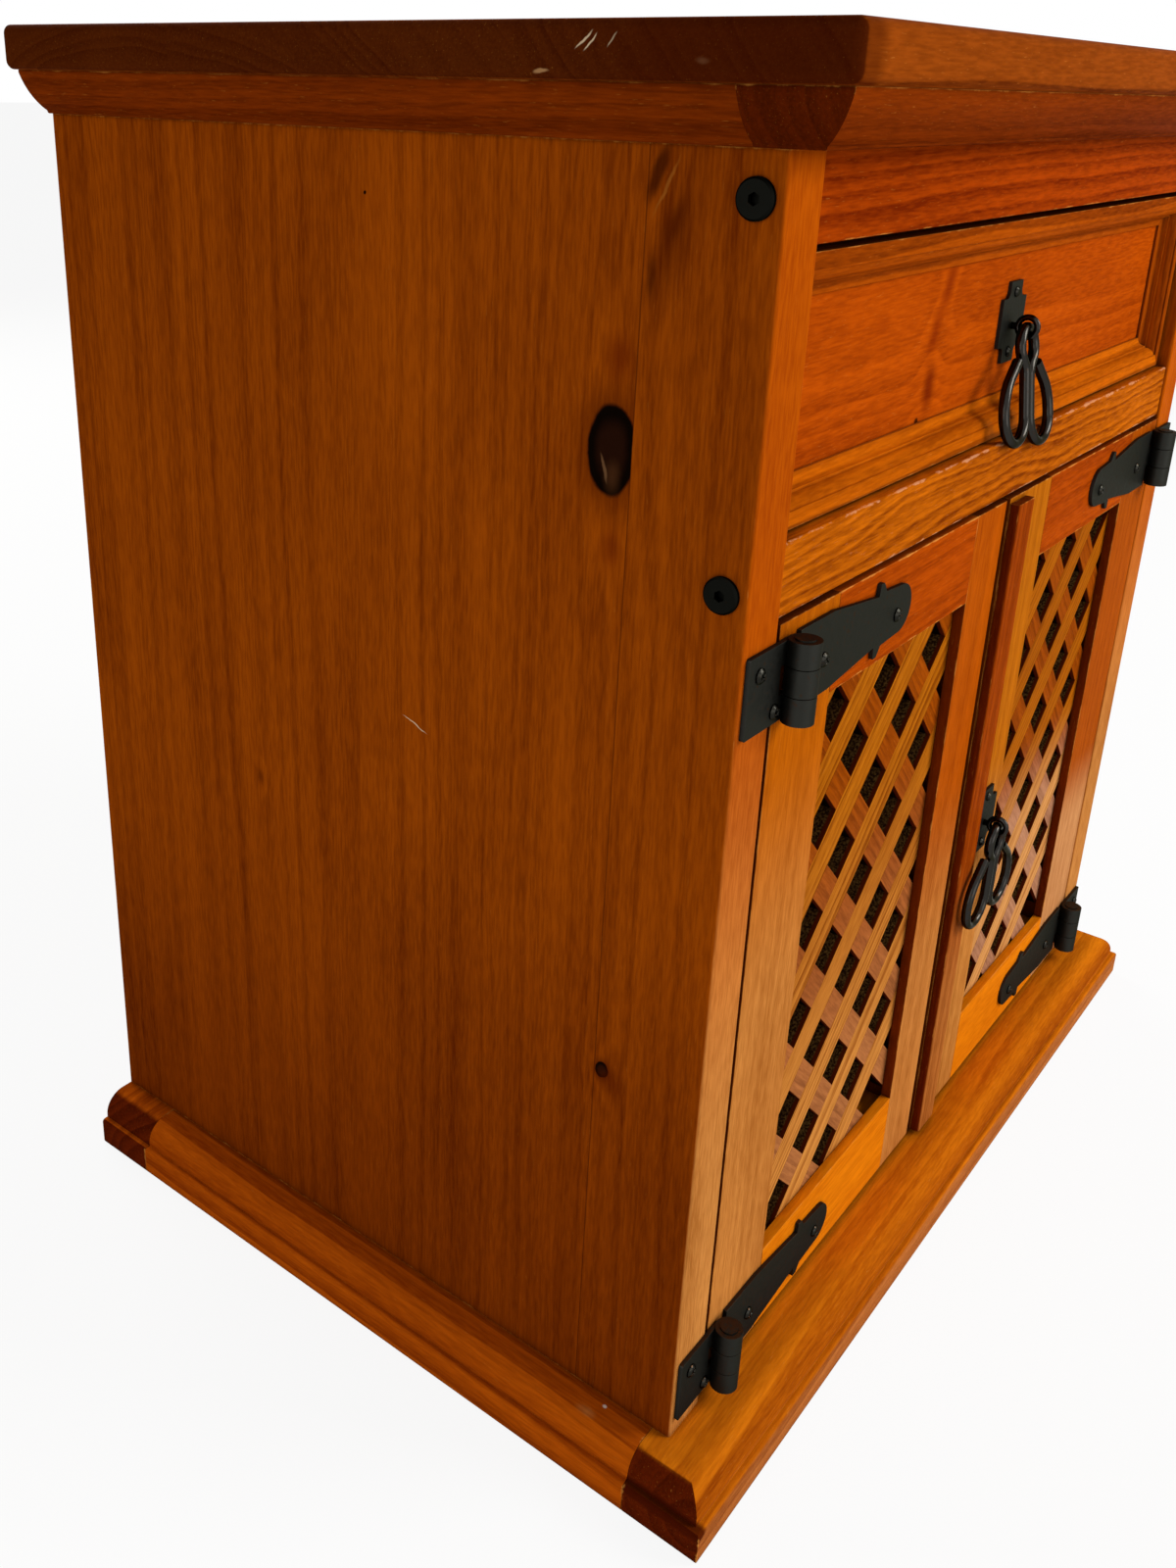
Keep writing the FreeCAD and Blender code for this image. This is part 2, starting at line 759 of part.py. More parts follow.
def make_hinges():
    end = d.barrel_length / 2
    upper_split = end - d.knuckle_top
    lower_split = d.knuckle_bottom - end
    tall = d.leaf_height / 2
    wide = half - hinge_x - d.leaf_margin
    hole = d.screw_shank / 2 + d.fixing_clearance
    leaf_section = [
        (0, -tall),
        (wide - d.leaf_corner, -tall, d.leaf_corner),
        (wide, d.leaf_corner - tall),
        (wide, tall - d.leaf_corner, d.leaf_corner),
        (wide - d.leaf_corner, tall),
        (0, tall),
        (0, upper_split),
        (d.knuckle_clear, upper_split),
        (d.knuckle_clear, lower_split),
        (0, lower_split),
    ]
    leaf_holes = [(d.leaf_screw_far, d.leaf_screw_rise), (d.leaf_screw_near, -d.leaf_screw_drop)]
    strap_top = upper_split - d.knuckle_gap
    strap_bottom = lower_split + d.knuckle_gap
    ear_tip = d.strap_neck + d.strap_ear_slope + d.strap_ear
    tongue = d.strap_length - d.strap_tongue
    lower_edge = [
        (d.knuckle_clear, -d.strap_half),
        (d.strap_shoulder, -d.strap_half),
        (d.strap_neck, -d.strap_neck_half),
        (d.strap_neck + d.strap_ear_slope, -d.strap_half),
        (ear_tip, -d.strap_half),
        (d.strap_notch, -d.strap_notch_half),
        (tongue, -d.strap_tongue, d.strap_tongue),
        (d.strap_length, 0, d.strap_tongue),
    ]
    upper_edge = [(x, -y) for x, y, *arc in reversed(lower_edge[:-1])]
    strap_section = lower_edge + upper_edge + [
        (d.knuckle_clear, strap_top),
        (0, strap_top),
        (0, strap_bottom),
        (d.knuckle_clear, strap_bottom),
    ]
    strap_holes = [(d.strap_screw_near, -d.strap_screw_drop),
                   (d.strap_screw_far, -d.strap_screw_drop)]
    leaf_back = front - d.leaf_thickness
    strap_back = door_face - d.leaf_thickness
    leaf_screws = []
    pins = []
    for name, side in sides.items():
        strap_screws = []
        for place_name, level in hinge_levels.items():
            where = "%s_%s" % (name, place_name)
            leaf = extrude("hinge_leaf_" + where, "XZ_Plane",
                           turn_section(leaf_section, (side, 0), (0, 1), side),
                           d.leaf_thickness, (hinge_x * side, leaf_back, level),
                           [(x * side, z, hole) for x, z in leaf_holes])
            add_knuckle(leaf, where + "_leaf_top", hinge_y - leaf_back, upper_split, d.knuckle_top)
            add_knuckle(leaf, where + "_leaf_bottom", hinge_y - leaf_back, -end, d.knuckle_bottom)
            bore_barrel(leaf, where + "_leaf", hinge_y - leaf_back)
            keep(leaf)
            strap = extrude("hinge_strap_" + where, "XZ_Plane",
                            turn_section(strap_section, (-side, 0), (0, 1), -side),
                            d.leaf_thickness, (hinge_x * side, strap_back, level),
                            [(-x * side, z, hole) for x, z in strap_holes])
            add_knuckle(strap, where + "_strap_middle", hinge_y - strap_back, strap_bottom,
                        strap_top - strap_bottom)
            bore_barrel(strap, where + "_strap", hinge_y - strap_back)
            keep(strap)
            pins.append((hinge_x * side, hinge_y, level - end))
            leaf_screws += [((hinge_x + x) * side, leaf_back, level + z, against_y)
                            for x, z in leaf_holes]
            strap_screws += [((hinge_x - x) * side, strap_back, level + z, against_y)
                             for x, z in strap_holes]
        keep(copies("strap_screws_" + name, wood_screw, strap_screws))
    keep(copies("leaf_screws", wood_screw, leaf_screws))
    pin = rod("hinge_pin", d.pin_radius, d.barrel_length + d.pin_end, 0, 0, 0)
    keep(copies("hinge_pins", pin, pins))


def domed_fixing(label, head, head_height, shank, length):
    # Domed head above, shank below, stood upright on the plate it holds
    radius = head / 2
    return turned(label, [
        (0, -length),
        (shank / 2, -length),
        (shank / 2, 0),
        (radius, 0),
        (radius, head_height * d.head_rim_share),
        (radius * d.head_flat_share, head_height),
        (0, head_height),
    ])


# Drop pulls: plate, eye driven through it, and a wire drop that hangs from the eye

def make_pull(label, x, face, z, lean, askew):
    tall = d.pull_height / 2
    wide = d.pull_width / 2
    waist = d.pull_waist / 2
    tab = d.pull_tab / 2
    quarter = [
        (tab, -tall),
        (tab, -waist - d.pull_notch, -d.pull_notch),
        (tab + d.pull_notch, -waist),
        (wide, -waist),
    ]
    lower = both_edges(quarter)
    lower = lower[len(quarter):] + quarter
    outline = lower + [(-point[0], -point[1], *point[2:]) for point in lower]
    plate_front = face - d.pull_plate
    nail_hole = d.nail_shank / 2 + d.fixing_clearance
    eye_hole = d.eye_shank / 2 + d.fixing_clearance
    keep(extrude(label + "_plate", "XZ_Plane", outline, d.pull_plate, (x, plate_front, z),
                 [(0, d.pull_nail, nail_hole), (0, -d.pull_nail, nail_hole),
                  (0, -d.eye_drop, eye_hole)]))
    keep(copies(label + "_nails", pull_nail, [(x, plate_front, z + d.pull_nail, against_y),
                                              (x, plate_front, z - d.pull_nail, against_y)]))
    eye_y = plate_front - d.eye_projection
    eye_z = z - d.eye_drop
    hoop = d.drop_wire / 2 + d.eye_clearance + d.eye_wire / 2
    ring = doc.addObject("Part::Torus", label + "_ring")
    bind(ring, "Radius1", hoop)
    bind(ring, "Radius2", d.eye_wire / 2)
    place(ring, x, eye_y, eye_z, along_x)
    shank = rod(label + "_shank", d.eye_shank / 2,
                d.eye_projection - hoop + d.pull_plate + d.eye_reach,
                x, face + d.eye_reach, eye_z, against_y)
    keep(boolean("Fuse", label + "_eye", ring, shank))
    make_drop(label + "_drop", x, eye_y, eye_z, lean, askew)


def make_drop(label, x, y, z, lean, askew):
    # One wire: a round neck through the eye, two strands side by side, two loops curled up and in
    run = cosine(d.drop_turn)
    rise = sine(d.drop_turn)
    waist = d.drop_wire / 2 + d.drop_strand_gap / 2
    neck = d.drop_neck
    blend = (neck * run - waist) / (1 - run)
    level = d.drop_loop - d.drop_length
    outer = waist + d.drop_loop * 2
    curl_x = outer - d.drop_curl * (1 - run)
    curl_z = level + d.drop_curl * rise
    right_side = [
        (0, 0, -neck),
        (neck, -neck, -neck),
        (neck * run, -neck * (1 + rise), blend),
        (waist, -neck * (1 + rise) - blend * rise),
        (waist, level, d.drop_loop),
        (waist + d.drop_loop, -d.drop_length, d.drop_loop),
        (outer, level, d.drop_curl),
        (curl_x, curl_z),
        (curl_x - d.drop_tip * rise, curl_z + d.drop_tip * run),
    ]
    left_side = both_edges(right_side)[len(right_side):-1]
    # It hangs a little askew, turned about the eye in its own plane
    hung = turn_section(left_side + right_side, (cosine(askew), sine(askew)),
                        (-sine(askew), cosine(askew)))
    body = doc.addObject("PartDesign::Body", label)
    path = draw(body, label + "_path", "XZ_Plane", hung, closed=False)
    section = body.newObject("Sketcher::SketchObject", label + "_section")
    section.AttachmentSupport = [(path, "Edge1")]
    section.MapMode = "NormalToEdge"
    wire = Part.Circle(FreeCAD.Vector(), FreeCAD.Vector(0, 0, 1), d.drop_wire.number / 2)
    section.addGeometry(wire, False)
    section.addConstraint(Sketcher.Constraint("Coincident", 0, 3, -1, 1))
    fix_radius(section, 0, d.drop_wire / 2)
    doc.recompute()
    pipe = body.newObject("PartDesign::AdditivePipe", label + "_wire")
    pipe.Profile = section
    pipe.Spine = (path, [])
    place(body, x, y, z, FreeCAD.Rotation(FreeCAD.Vector(-1, 0, 0), lean.number))
    bind(body, "Placement.Rotation.Angle", lean)
    keep(body)


# Drawer: panel front with a mitred moulding, and a plain box behind

def moulding_section():
    # From the outer edge in: rim, step, convex band, quirk, cove, fillet
    width = moulding_width
    cove_foot = width - d.moulding_fillet
    cove_top = d.moulding_fillet + d.moulding_cove
    band_foot = d.moulding_rim + d.moulding_band
    return [
        (0, 0),
        (width, 0),
        (width, d.moulding_fillet),
        (cove_foot, d.moulding_fillet, -d.moulding_cove),
        (cove_foot - d.moulding_cove, cove_top),
        (band_foot, cove_top, d.moulding_band),
        (d.moulding_rim, cove_top + d.moulding_band),
        (d.moulding_rim, moulding_thickness),
        (0, moulding_thickness),
    ]


def make_moulding():
    width = drawer_half * 2
    mitre = moulding_width
    section = moulding_section()
    sloped = {
        "bottom": [(0, 0), (width, 0), (width - mitre, mitre), (mitre, mitre)],
        "top": [(mitre, drawer_height - mitre), (width - mitre, drawer_height - mitre),
                (width, drawer_height), (0, drawer_height)],
        "left": [(0, 0), (mitre, mitre), (mitre, drawer_height - mitre), (0, drawer_height)],
        "right": [(width, 0), (width, drawer_height), (width - mitre, drawer_height - mitre),
                  (width - mitre, mitre)],
    }
    runs = {
        "bottom": ("YZ_Plane", turn_section(section, (0, -1), (1, 0)), width,
                   (-drawer_half, drawer_bottom)),
        "top": ("YZ_Plane", turn_section(section, (0, -1), (-1, 0), -1), width,
                (-drawer_half, drawer_bottom + drawer_height)),
        "left": ("XY_Plane", turn_section(section, (1, 0), (0, -1), -1), drawer_height,
                 (-drawer_half, drawer_bottom)),
        "right": ("XY_Plane", turn_section(section, (-1, 0), (0, -1)), drawer_height,
                  (drawer_half, drawer_bottom)),
    }
    for name, (plane, laid, length, (x, z)) in runs.items():
        run = extrude("moulding_run_" + name, plane, laid, length, (x, drawer_face, z))
        mitres = extrude("moulding_mitres_" + name, "XZ_Plane", sloped[name], moulding_thickness,
                         (-drawer_half, drawer_face - moulding_thickness, drawer_bottom))
        keep(boolean("Common", "drawer_moulding_" + name, run, mitres))


def make_drawer():
    keep(block("drawer_front", (drawer_half * 2, d.drawer_panel, drawer_height),
               (-drawer_half, drawer_face, drawer_bottom)))
    make_moulding()
    box_half = inner - d.drawer_box_gap
    level = mid_top + d.runner_clearance
    groove_low = d.drawer_groove_rise
    groove_high = d.drawer_groove_rise + d.drawer_ply
    groove = box_half - d.drawer_side + d.drawer_groove_depth
    wall = box_half - d.drawer_side
    for name, side in sides.items():
        section = [
            (box_half, 0),
            (box_half, d.drawer_side_height),
            (wall, d.drawer_side_height),
            (wall, groove_high),
            (groove, groove_high),
            (groove, groove_low),
            (wall, groove_low),
            (wall, 0),
        ]
        keep(extrude("drawer_side_" + name, "XZ_Plane",
                     turn_section(section, (side, 0), (0, 1), side),
                     d.drawer_depth, (0, drawer_panel_back, level)))
    keep(block("drawer_back", (wall * 2, d.drawer_side, d.drawer_side_height - groove_high),
               (-wall, drawer_panel_back + d.drawer_depth - d.drawer_side, level + groove_high)))
    ply_half = groove - d.drawer_groove_gap
    keep(block("drawer_bottom", (ply_half * 2, d.drawer_depth, d.drawer_ply),
               (-ply_half, drawer_panel_back, level + groove_low)))
    pull_z = drawer_bottom + drawer_height / 2 + d.drawer_pull_rise
    eye_y = drawer_face - d.pull_plate - d.eye_projection
    # The drop leans on the face of the mid rail
    lean = arc_tangent(eye_y + d.drop_wire / 2 + d.drop_rest_gap - rail_front,
                       pull_z - d.eye_drop - mid_top)
    make_pull("drawer_pull", as_size(0), drawer_face, pull_z, lean, d.drawer_drop_askew)


wood_screw = domed_fixing("wood_screw", d.screw_head, d.screw_head_height, d.screw_shank,
                          d.screw_length)
pull_nail = domed_fixing("pull_nail", d.nail_head, d.nail_head_height, d.nail_shank,
                         d.nail_length)
make_base()
make_carcass()
make_crown()
make_doors()
make_hinges()
make_drawer()
doc.recompute()

# Nothing is written unless every object and every piece is sound
for thing in doc.Objects:
    if "Invalid" in thing.State or "Error" in thing.State:
        raise RuntimeError("%s failed: %s" % (thing.Label, thing.State))
for node in nodes:
    if node.Shape.isNull() or not node.Shape.isValid():
        raise RuntimeError("%s has no sound shape" % node.Label)

os.makedirs("parts", exist_ok=True)
for node in nodes:
    node.Shape.exportStep("parts/%s.step" % node.Label)
    print(node.Label, len(node.Shape.Solids), round(node.Shape.Volume))
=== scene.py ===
import json
import random
from functools import partial
from math import radians

import bmesh
import bpy
from mathutils import Matrix, Vector


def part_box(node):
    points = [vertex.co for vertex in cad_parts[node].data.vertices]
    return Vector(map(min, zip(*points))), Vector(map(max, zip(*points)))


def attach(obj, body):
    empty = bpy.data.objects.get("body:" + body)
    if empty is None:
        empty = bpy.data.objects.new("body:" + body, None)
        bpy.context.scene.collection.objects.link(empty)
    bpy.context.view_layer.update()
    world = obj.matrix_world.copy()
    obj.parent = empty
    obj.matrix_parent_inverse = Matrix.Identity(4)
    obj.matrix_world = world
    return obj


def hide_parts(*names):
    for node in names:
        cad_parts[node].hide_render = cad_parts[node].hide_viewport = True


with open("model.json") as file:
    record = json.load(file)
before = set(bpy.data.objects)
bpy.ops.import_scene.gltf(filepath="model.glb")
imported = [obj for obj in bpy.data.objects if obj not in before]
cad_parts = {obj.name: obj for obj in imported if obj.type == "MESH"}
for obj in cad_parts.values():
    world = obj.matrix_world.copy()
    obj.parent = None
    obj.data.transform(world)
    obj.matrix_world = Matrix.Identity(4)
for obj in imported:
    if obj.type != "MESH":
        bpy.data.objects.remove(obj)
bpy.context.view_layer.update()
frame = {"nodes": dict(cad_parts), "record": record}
mm = 0.001
bodies = frame["record"]["behaviour"]["bodies"]
bodyOf = {node: body for body, members in bodies.items() for node in members}


# Shared tools
meshLimits = {"merge": 0.01,   # millimetres between points that are one
              "flat": 1,       # degrees between faces that are one
              "arris": 38,     # degrees from which an edge is eased
              "smooth": 32}    # degrees up to which an edge is shaded round
colourMix = {"data_type": "RGBA"}   # a Mix node's colours are its inputs 6 and 7 and its output 2
numberMix = {"data_type": "FLOAT"}   # and its numbers are inputs 2 and 3 and output 0
smoothStep = {"interpolation_type": "SMOOTHSTEP"}


def toLinear(hexColour):
    channels = [int(hexColour[at:at + 2], 16) / 255 for at in (1, 3, 5)]
    return [c / 12.92 if c <= 0.04045 else ((c + 0.055) / 1.055) ** 2.4 for c in channels] + [1]


def addNode(tree, kind, settings, inputs, out=0):
    node = tree.nodes.new("ShaderNode" + kind)
    for name, value in settings.items():
        setattr(node, name, value)
    for name, value in inputs.items():
        if isinstance(value, bpy.types.NodeSocket):
            tree.links.new(value, node.inputs[name])
        else:
            node.inputs[name].default_value = value
    return node.outputs[out] if len(node.outputs) else node


def newMaterial(name):
    material = bpy.data.materials.new(name)
    material.use_nodes = True
    material.node_tree.nodes.clear()
    return material, partial(addNode, material.node_tree)


def newPiece(name, shape):
    mesh = bpy.data.meshes.new(name)
    shape.to_mesh(mesh)
    shape.free()
    for face in mesh.polygons:
        face.use_smooth = True
    mesh.set_sharp_from_angle(angle=radians(meshLimits["smooth"]))
    piece = bpy.data.objects.new(name, mesh)
    bpy.context.scene.collection.objects.link(piece)
    flat = piece.modifiers.new("flatFaces", "WEIGHTED_NORMAL")   # faces stay flat up to their eased arrises
    flat.keep_sharp = True
    return piece


def mergedShape(node):
    # a cut piece's mesh is loose triangles, so its copy is merged
    shape = bmesh.new()
    shape.from_mesh(frame["nodes"][node].data)
    bmesh.ops.remove_doubles(shape, verts=shape.verts, dist=meshLimits["merge"] * mm)
    return shape


def easedCopy(node, easing, name):
    # a copy of the cut piece with its sharp arrises rounded over
    shape = mergedShape(node)
    bmesh.ops.dissolve_limit(shape, angle_limit=radians(meshLimits["flat"]), verts=shape.verts,
                             edges=shape.edges)
    least = radians(meshLimits["arris"])
    sharp = [edge for edge in shape.edges if len(edge.link_faces) == 2 and edge.calc_face_angle(0) > least]
    bmesh.ops.bevel(shape, geom=sharp, offset=easing * mm, offset_type="OFFSET", affect="EDGES",
                    segments=2, profile=0.5, clamp_overlap=True, material=-1)
    return newPiece(name, shape)


def dress(piece, node, material):
    piece.data.materials.clear()
    piece.data.materials.append(material)
    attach(piece, bodyOf[node])
    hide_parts(node)


# Camera: the photograph's own viewpoint
viewCamera = {"place": (-0.7119, -0.4029, 0.6090), "turn": (68.813, -1.208, -50.935), "lens": 32.857,
              "shift": (0.0699, -0.0923)}


def makeCamera():
    data = bpy.data.cameras.new("photoCamera")
    data.lens = viewCamera["lens"]
    data.shift_x, data.shift_y = viewCamera["shift"]
    camera = bpy.data.objects.new("photoCamera", data)
    camera.location = viewCamera["place"]
    camera.rotation_euler = [radians(angle) for angle in viewCamera["turn"]]
    bpy.context.scene.collection.objects.link(camera)
    bpy.context.scene.camera = camera
    print("camera set")


# Studio: a white floor and soft lamps, the strongest one in front on the right. Sizes in metres.
studio = {"floorHalf": 30.0, "floor": "#f4f3f0", "floorWhite": 0.9, "ambient": 0.27, "aim": (0, 0, 0.32),
          "lamps": {"keyLamp": {"place": (1.5, -2.4, 1.9), "size": 1.4, "power": 76},
                    "fillLamp": {"place": (-0.3, -2.7, 0.5), "size": 1.6, "power": 17},
                    "sideLamp": {"place": (-2.6, -0.2, 1.1), "size": 1.8, "power": 13},
                    "rearLamp": {"place": (0.6, 2.6, 1.9), "size": 1.8, "power": 40}}}


def whiteForLooking(add):
    # camera, glossy and clear rays see plain white
    path = add("LightPath", {}, {}).node.outputs
    either = add("Math", {"operation": "MAXIMUM"}, {0: path["Is Camera Ray"], 1: path["Is Glossy Ray"]})
    return add("Math", {"operation": "MAXIMUM"}, {0: either, 1: path["Is Transmission Ray"]})


def makeWorld():
    world = bpy.data.worlds.new("studioWorld")
    bpy.context.scene.world = world
    world.use_nodes = True
    world.node_tree.nodes.clear()
    add = partial(addNode, world.node_tree)
    strength = add("Mix", numberMix, {0: whiteForLooking(add), 2: studio["ambient"], 3: 1.0})
    light = add("Background", {}, {"Color": (1, 1, 1, 1), "Strength": strength})
    add("OutputWorld", {}, {"Surface": light})


def makeFloor():
    shape = bmesh.new()
    bmesh.ops.create_grid(shape, x_segments=1, y_segments=1, size=studio["floorHalf"])
    floor = newPiece("studioFloor", shape)
    material, add = newMaterial("paintedFloor")   # matt white paint
    paint = add("BsdfDiffuse", {}, {"Color": toLinear(studio["floor"])})
    white = add("Emission", {}, {"Color": (1, 1, 1, 1), "Strength": 1.0})
    share = add("Math", {"operation": "MULTIPLY"}, {0: whiteForLooking(add), 1: studio["floorWhite"]})
    add("OutputMaterial", {}, {"Surface": add("MixShader", {}, {0: share, 1: paint, 2: white})})
    floor.data.materials.append(material)


def makeLamps():
    for name, lampLook in studio["lamps"].items():
        data = bpy.data.lights.new(name, "AREA")
        data.shape = "SQUARE"
        data.size = lampLook["size"]
        data.energy = lampLook["power"]
        lamp = bpy.data.objects.new(name, data)
        lamp.location = lampLook["place"]
        lamp.rotation_euler = (Vector(studio["aim"]) - lamp.location).to_track_quat("-Z", "Y").to_euler()
        bpy.context.scene.collection.objects.link(lamp)


def makeStudio():
    makeWorld()
    makeFloor()
    makeLamps()
    bpy.context.scene.view_settings.view_transform = "Standard"
    print("studio set")


# Honey-stained pine under satin lacquer: orange early wood, red-brown late-wood bands, fine fibre,
# dark stained end grain and pale wood where the arrises have worn through. Sizes in millimetres.
# the corner colour #2b0c01 below is painted shade
honeyPine = {"pale": "#bf5806", "dark": "#7c2c02", "endPale": "#713009", "endDark": "#4a1a04",
             "worn": "#d98d3c", "cornerShadeAndDust": "#2b0c01", "ring": 7.0, "heart": None, "wander": 12.0,
             "drift": (260, 60), "contrast": 0.65, "edge": 0.85, "fibre": 0.75, "blotch": 0.8,
             "wear": 0.3, "scuffs": 0.2, "staves": [], "joints": [], "marks": [], "fades": [], "sawn": None,
             "easing": 0.35, "rough": 0.38, "specular": 0.0004}   # with more, low views turn hazy
# along and across the grain; real fibres and pores are finer, so both are as coarse as they need to show
grainSizes = {"blotch": (190, 44), "fibre": (55, 0.9), "pore": (11, 1.2), "rub": (14, 5), "scuff": (5, 0.6)}
cornerShadeAndDustSizes = {"reach": 8, "deep": 0.25, "clear": 0.8, "share": 0.7}   # painted shade in corners, creases and gaps between parts; on the drawer mouldings the colour there is dust
growth = {"heartOff": 40, "staveOff": 60, "slatOff": (400, 90, 70),   # how far one log's heart is from another's
          "unevenEvery": 50 / 3, "unevenYears": 2.4, "weakYear": 0.25,   # years of uneven width and darkness
          "middle": 0.66, "poreShare": 0.45,   # tone between the bands, and the pores' part in the fibre
          "pore": {"From Min": 0.36, "From Max": 0.64},
          "knotBend": {"From Min": 0.3, "From Max": 2.6},   # in radii of the knot
          "endGrain": {"From Min": 0.25, "From Max": 0.5}}
ageing = {"wave": 9, "waver": 3,   # the wavering rims of the marks
          "rubbed": 2.6, "rubShare": 0.75,   # how far in from an arris stain is lost, and how much of it
          "glueHalf": 0.3, "glueShare": 0.6, "scuffTurn": 12,
          "rub": {"From Min": 0.45, "From Max": 0.75},
          "arris": {"From Min": -0.4 * mm, "From Max": 0.5 * mm},
          "faceOn": {"From Min": 0.5, "From Max": 0.85},
          "scuff": {"From Min": 0.66, "From Max": 0.76}}
sawing = {"side": {"From Min": 0.3, "From Max": 0.6, "To Min": 1.0, "To Max": 0.0},
          # under: the sides that face down, for painted shade
          "under": {"From Min": -0.4, "From Max": 0.3, "To Min": 1.0, "To Max": 0.0},
          "dust": {"From Min": 0.42, "From Max": 0.68}}
lacquer = {"roughSpread": 0.06, "wornRough": 0.2, "bandRelief": 0.5, "relief": 0.25, "reliefDepth": 0.2}
knotSizes = {"halo": 1.9, "core": 0.78}


def patch(at, half, colour, share, soft, **more):
    return {"at": at, "half": half, "colour": colour, "share": share, "soft": soft, **more}


def knot(at, half, **more):
    # a dead knot: a red halo, a black bark rim and a brown core
    halo = [way * knotSizes["halo"] for way in half]
    core = [way * knotSizes["core"] for way in half]
    return [patch(at, halo, "#4d1502", 0.75, 0.75, swell=0.8, **more),
            patch(at, half, "#0d0603", 1.0, 0.12, **more),
            patch(at, core, "#281208", 0.85, 0.5, **more)]


def scratch(at, length, lean, width=0.45, share=0.8):
    return [patch(at, (2, length / 2, width), "#e2c7a0", share, 0.5, turn=(lean, 0, 0))]


def fade(low, high, pale, dark, share, facing):
    # another colour on the faces that look one way, whole up to the low height and gone at the high one; it
    # carries other stains and also painted shade and painted reflections
    return {"low": low, "high": high, "pale": pale, "dark": dark, "share": share, "facing": facing}


def paintedFloorReflection(low, high, share=0.75, pale="#d18e48", dark="#93551d"):
    # painted reflection: front faces paler towards the floor, standing for the white floor mirrored in the
    # lacquer
    return fade(low, high, pale, dark, share, front)


def perSize(size):
    along, across = size
    return (1 / along, 1 / across, 1 / across)


def unevenPlace(add, place):
    waver = [ageing["waver"] * mm] * 3
    wave = 1 / (ageing["wave"] * mm)
    wobble = add("TexNoise", {}, {"Vector": place, "Scale": wave, "Detail": 4.0}, "Color")
    wobble = add("VectorMath", {"operation": "SUBTRACT"}, {0: wobble, 1: (0.5, 0.5, 0.5)})
    return add("VectorMath", {"operation": "MULTIPLY_ADD"}, {0: wobble, 1: waver, 2: place})


def markReach(add, uneven, mark):
    # 0 at the middle of a mark and 1 on its rim
    local = add("Mapping", {"vector_type": "TEXTURE"},
                {"Vector": uneven, "Location": Vector(mark["at"]) * mm, "Scale": Vector(mark["half"]) * mm,
                 "Rotation": [radians(angle) for angle in mark.get("turn", (0, 0, 0))]})
    return add("VectorMath", {"operation": "LENGTH"}, {0: local}, "Value")


def boardSpace(add, place, ways, node, grain, look, draw):
    # millimetres along and across the grain from the heart of the log; each glued stave has its own grain
    low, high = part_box(node)
    heart = look["heart"] or [draw.uniform(-growth["heartOff"], growth["heartOff"]) for axis in range(3)]
    turn = Vector(grain).to_track_quat("X", "Z").to_euler()
    board = add("Mapping", {"vector_type": "TEXTURE"},
                {"Vector": place, "Location": (low + high) / 2 + Vector(heart) * mm, "Rotation": turn,
                 "Scale": (mm, mm, mm)})
    for axis, level in look["staves"]:
        beyond = add("Math", {"operation": "GREATER_THAN"}, {0: ways[axis], 1: level * mm})
        shift = [draw.uniform(-growth["staveOff"], growth["staveOff"]) for way in range(3)]
        board = add("VectorMath", {"operation": "MULTIPLY_ADD"}, {0: beyond, 1: shift, 2: board})
    if look["sawn"]:   # each slat is a piece of its own
        slat = add("NewGeometry", {}, {}, "Random Per Island")
        board = add("VectorMath", {"operation": "MULTIPLY_ADD"}, {0: slat, 1: growth["slatOff"], 2: board})
    return board


def yearRings(add, board, swells, look):
    # dark late wood at the end of each year, wider and darker in some years than in others
    drift = add("Mapping", {}, {"Vector": board, "Scale": perSize(look["drift"])})
    drift = add("TexNoise", {}, {"Vector": drift, "Scale": 1.0, "Detail": 1.5}, "Color")
    sway = (0, look["wander"], look["wander"])
    bent = add("VectorMath", {"operation": "MULTIPLY_ADD"}, {0: drift, 1: sway, 2: board})
    across = add("VectorMath", {"operation": "MULTIPLY"}, {0: bent, 1: (0, 1, 1)})
    radius = add("VectorMath", {"operation": "LENGTH"}, {0: across}, "Value")
    uneven = add("TexNoise", {"noise_dimensions": "1D"},
                 {"W": radius, "Scale": 1 / growth["unevenEvery"], "Detail": 1.0})
    years = add("Math", {"operation": "DIVIDE"}, {0: radius, 1: look["ring"]})
    years = add("Math", {"operation": "MULTIPLY_ADD"}, {0: uneven, 1: growth["unevenYears"], 2: years})
    for reach, swell in swells:   # the rings bend round a knot
        lift = add("MapRange", smoothStep,
                   {"Value": reach, **growth["knotBend"], "To Min": swell, "To Max": 0.0})
        years = add("Math", {"operation": "ADD"}, {0: years, 1: lift})
    year = add("Math", {"operation": "FLOOR"}, {0: years})
    season = add("Math", {"operation": "FRACT"}, {0: years})
    late = add("MapRange", smoothStep, {"Value": season, "From Max": look["edge"]})
    fresh = add("MapRange", smoothStep,
                {"Value": season, "From Min": look["edge"], "From Max": 1.0, "To Min": 1.0, "To Max": 0.0})
    vigour = add("TexWhiteNoise", {"noise_dimensions": "1D"}, {"W": year})
    vigour = add("MapRange", {}, {"Value": vigour, "To Min": growth["weakYear"], "To Max": 1.0})
    band = add("Math", {"operation": "MULTIPLY"}, {0: late, 1: fresh})
    return add("Math", {"operation": "MULTIPLY"}, {0: band, 1: vigour})


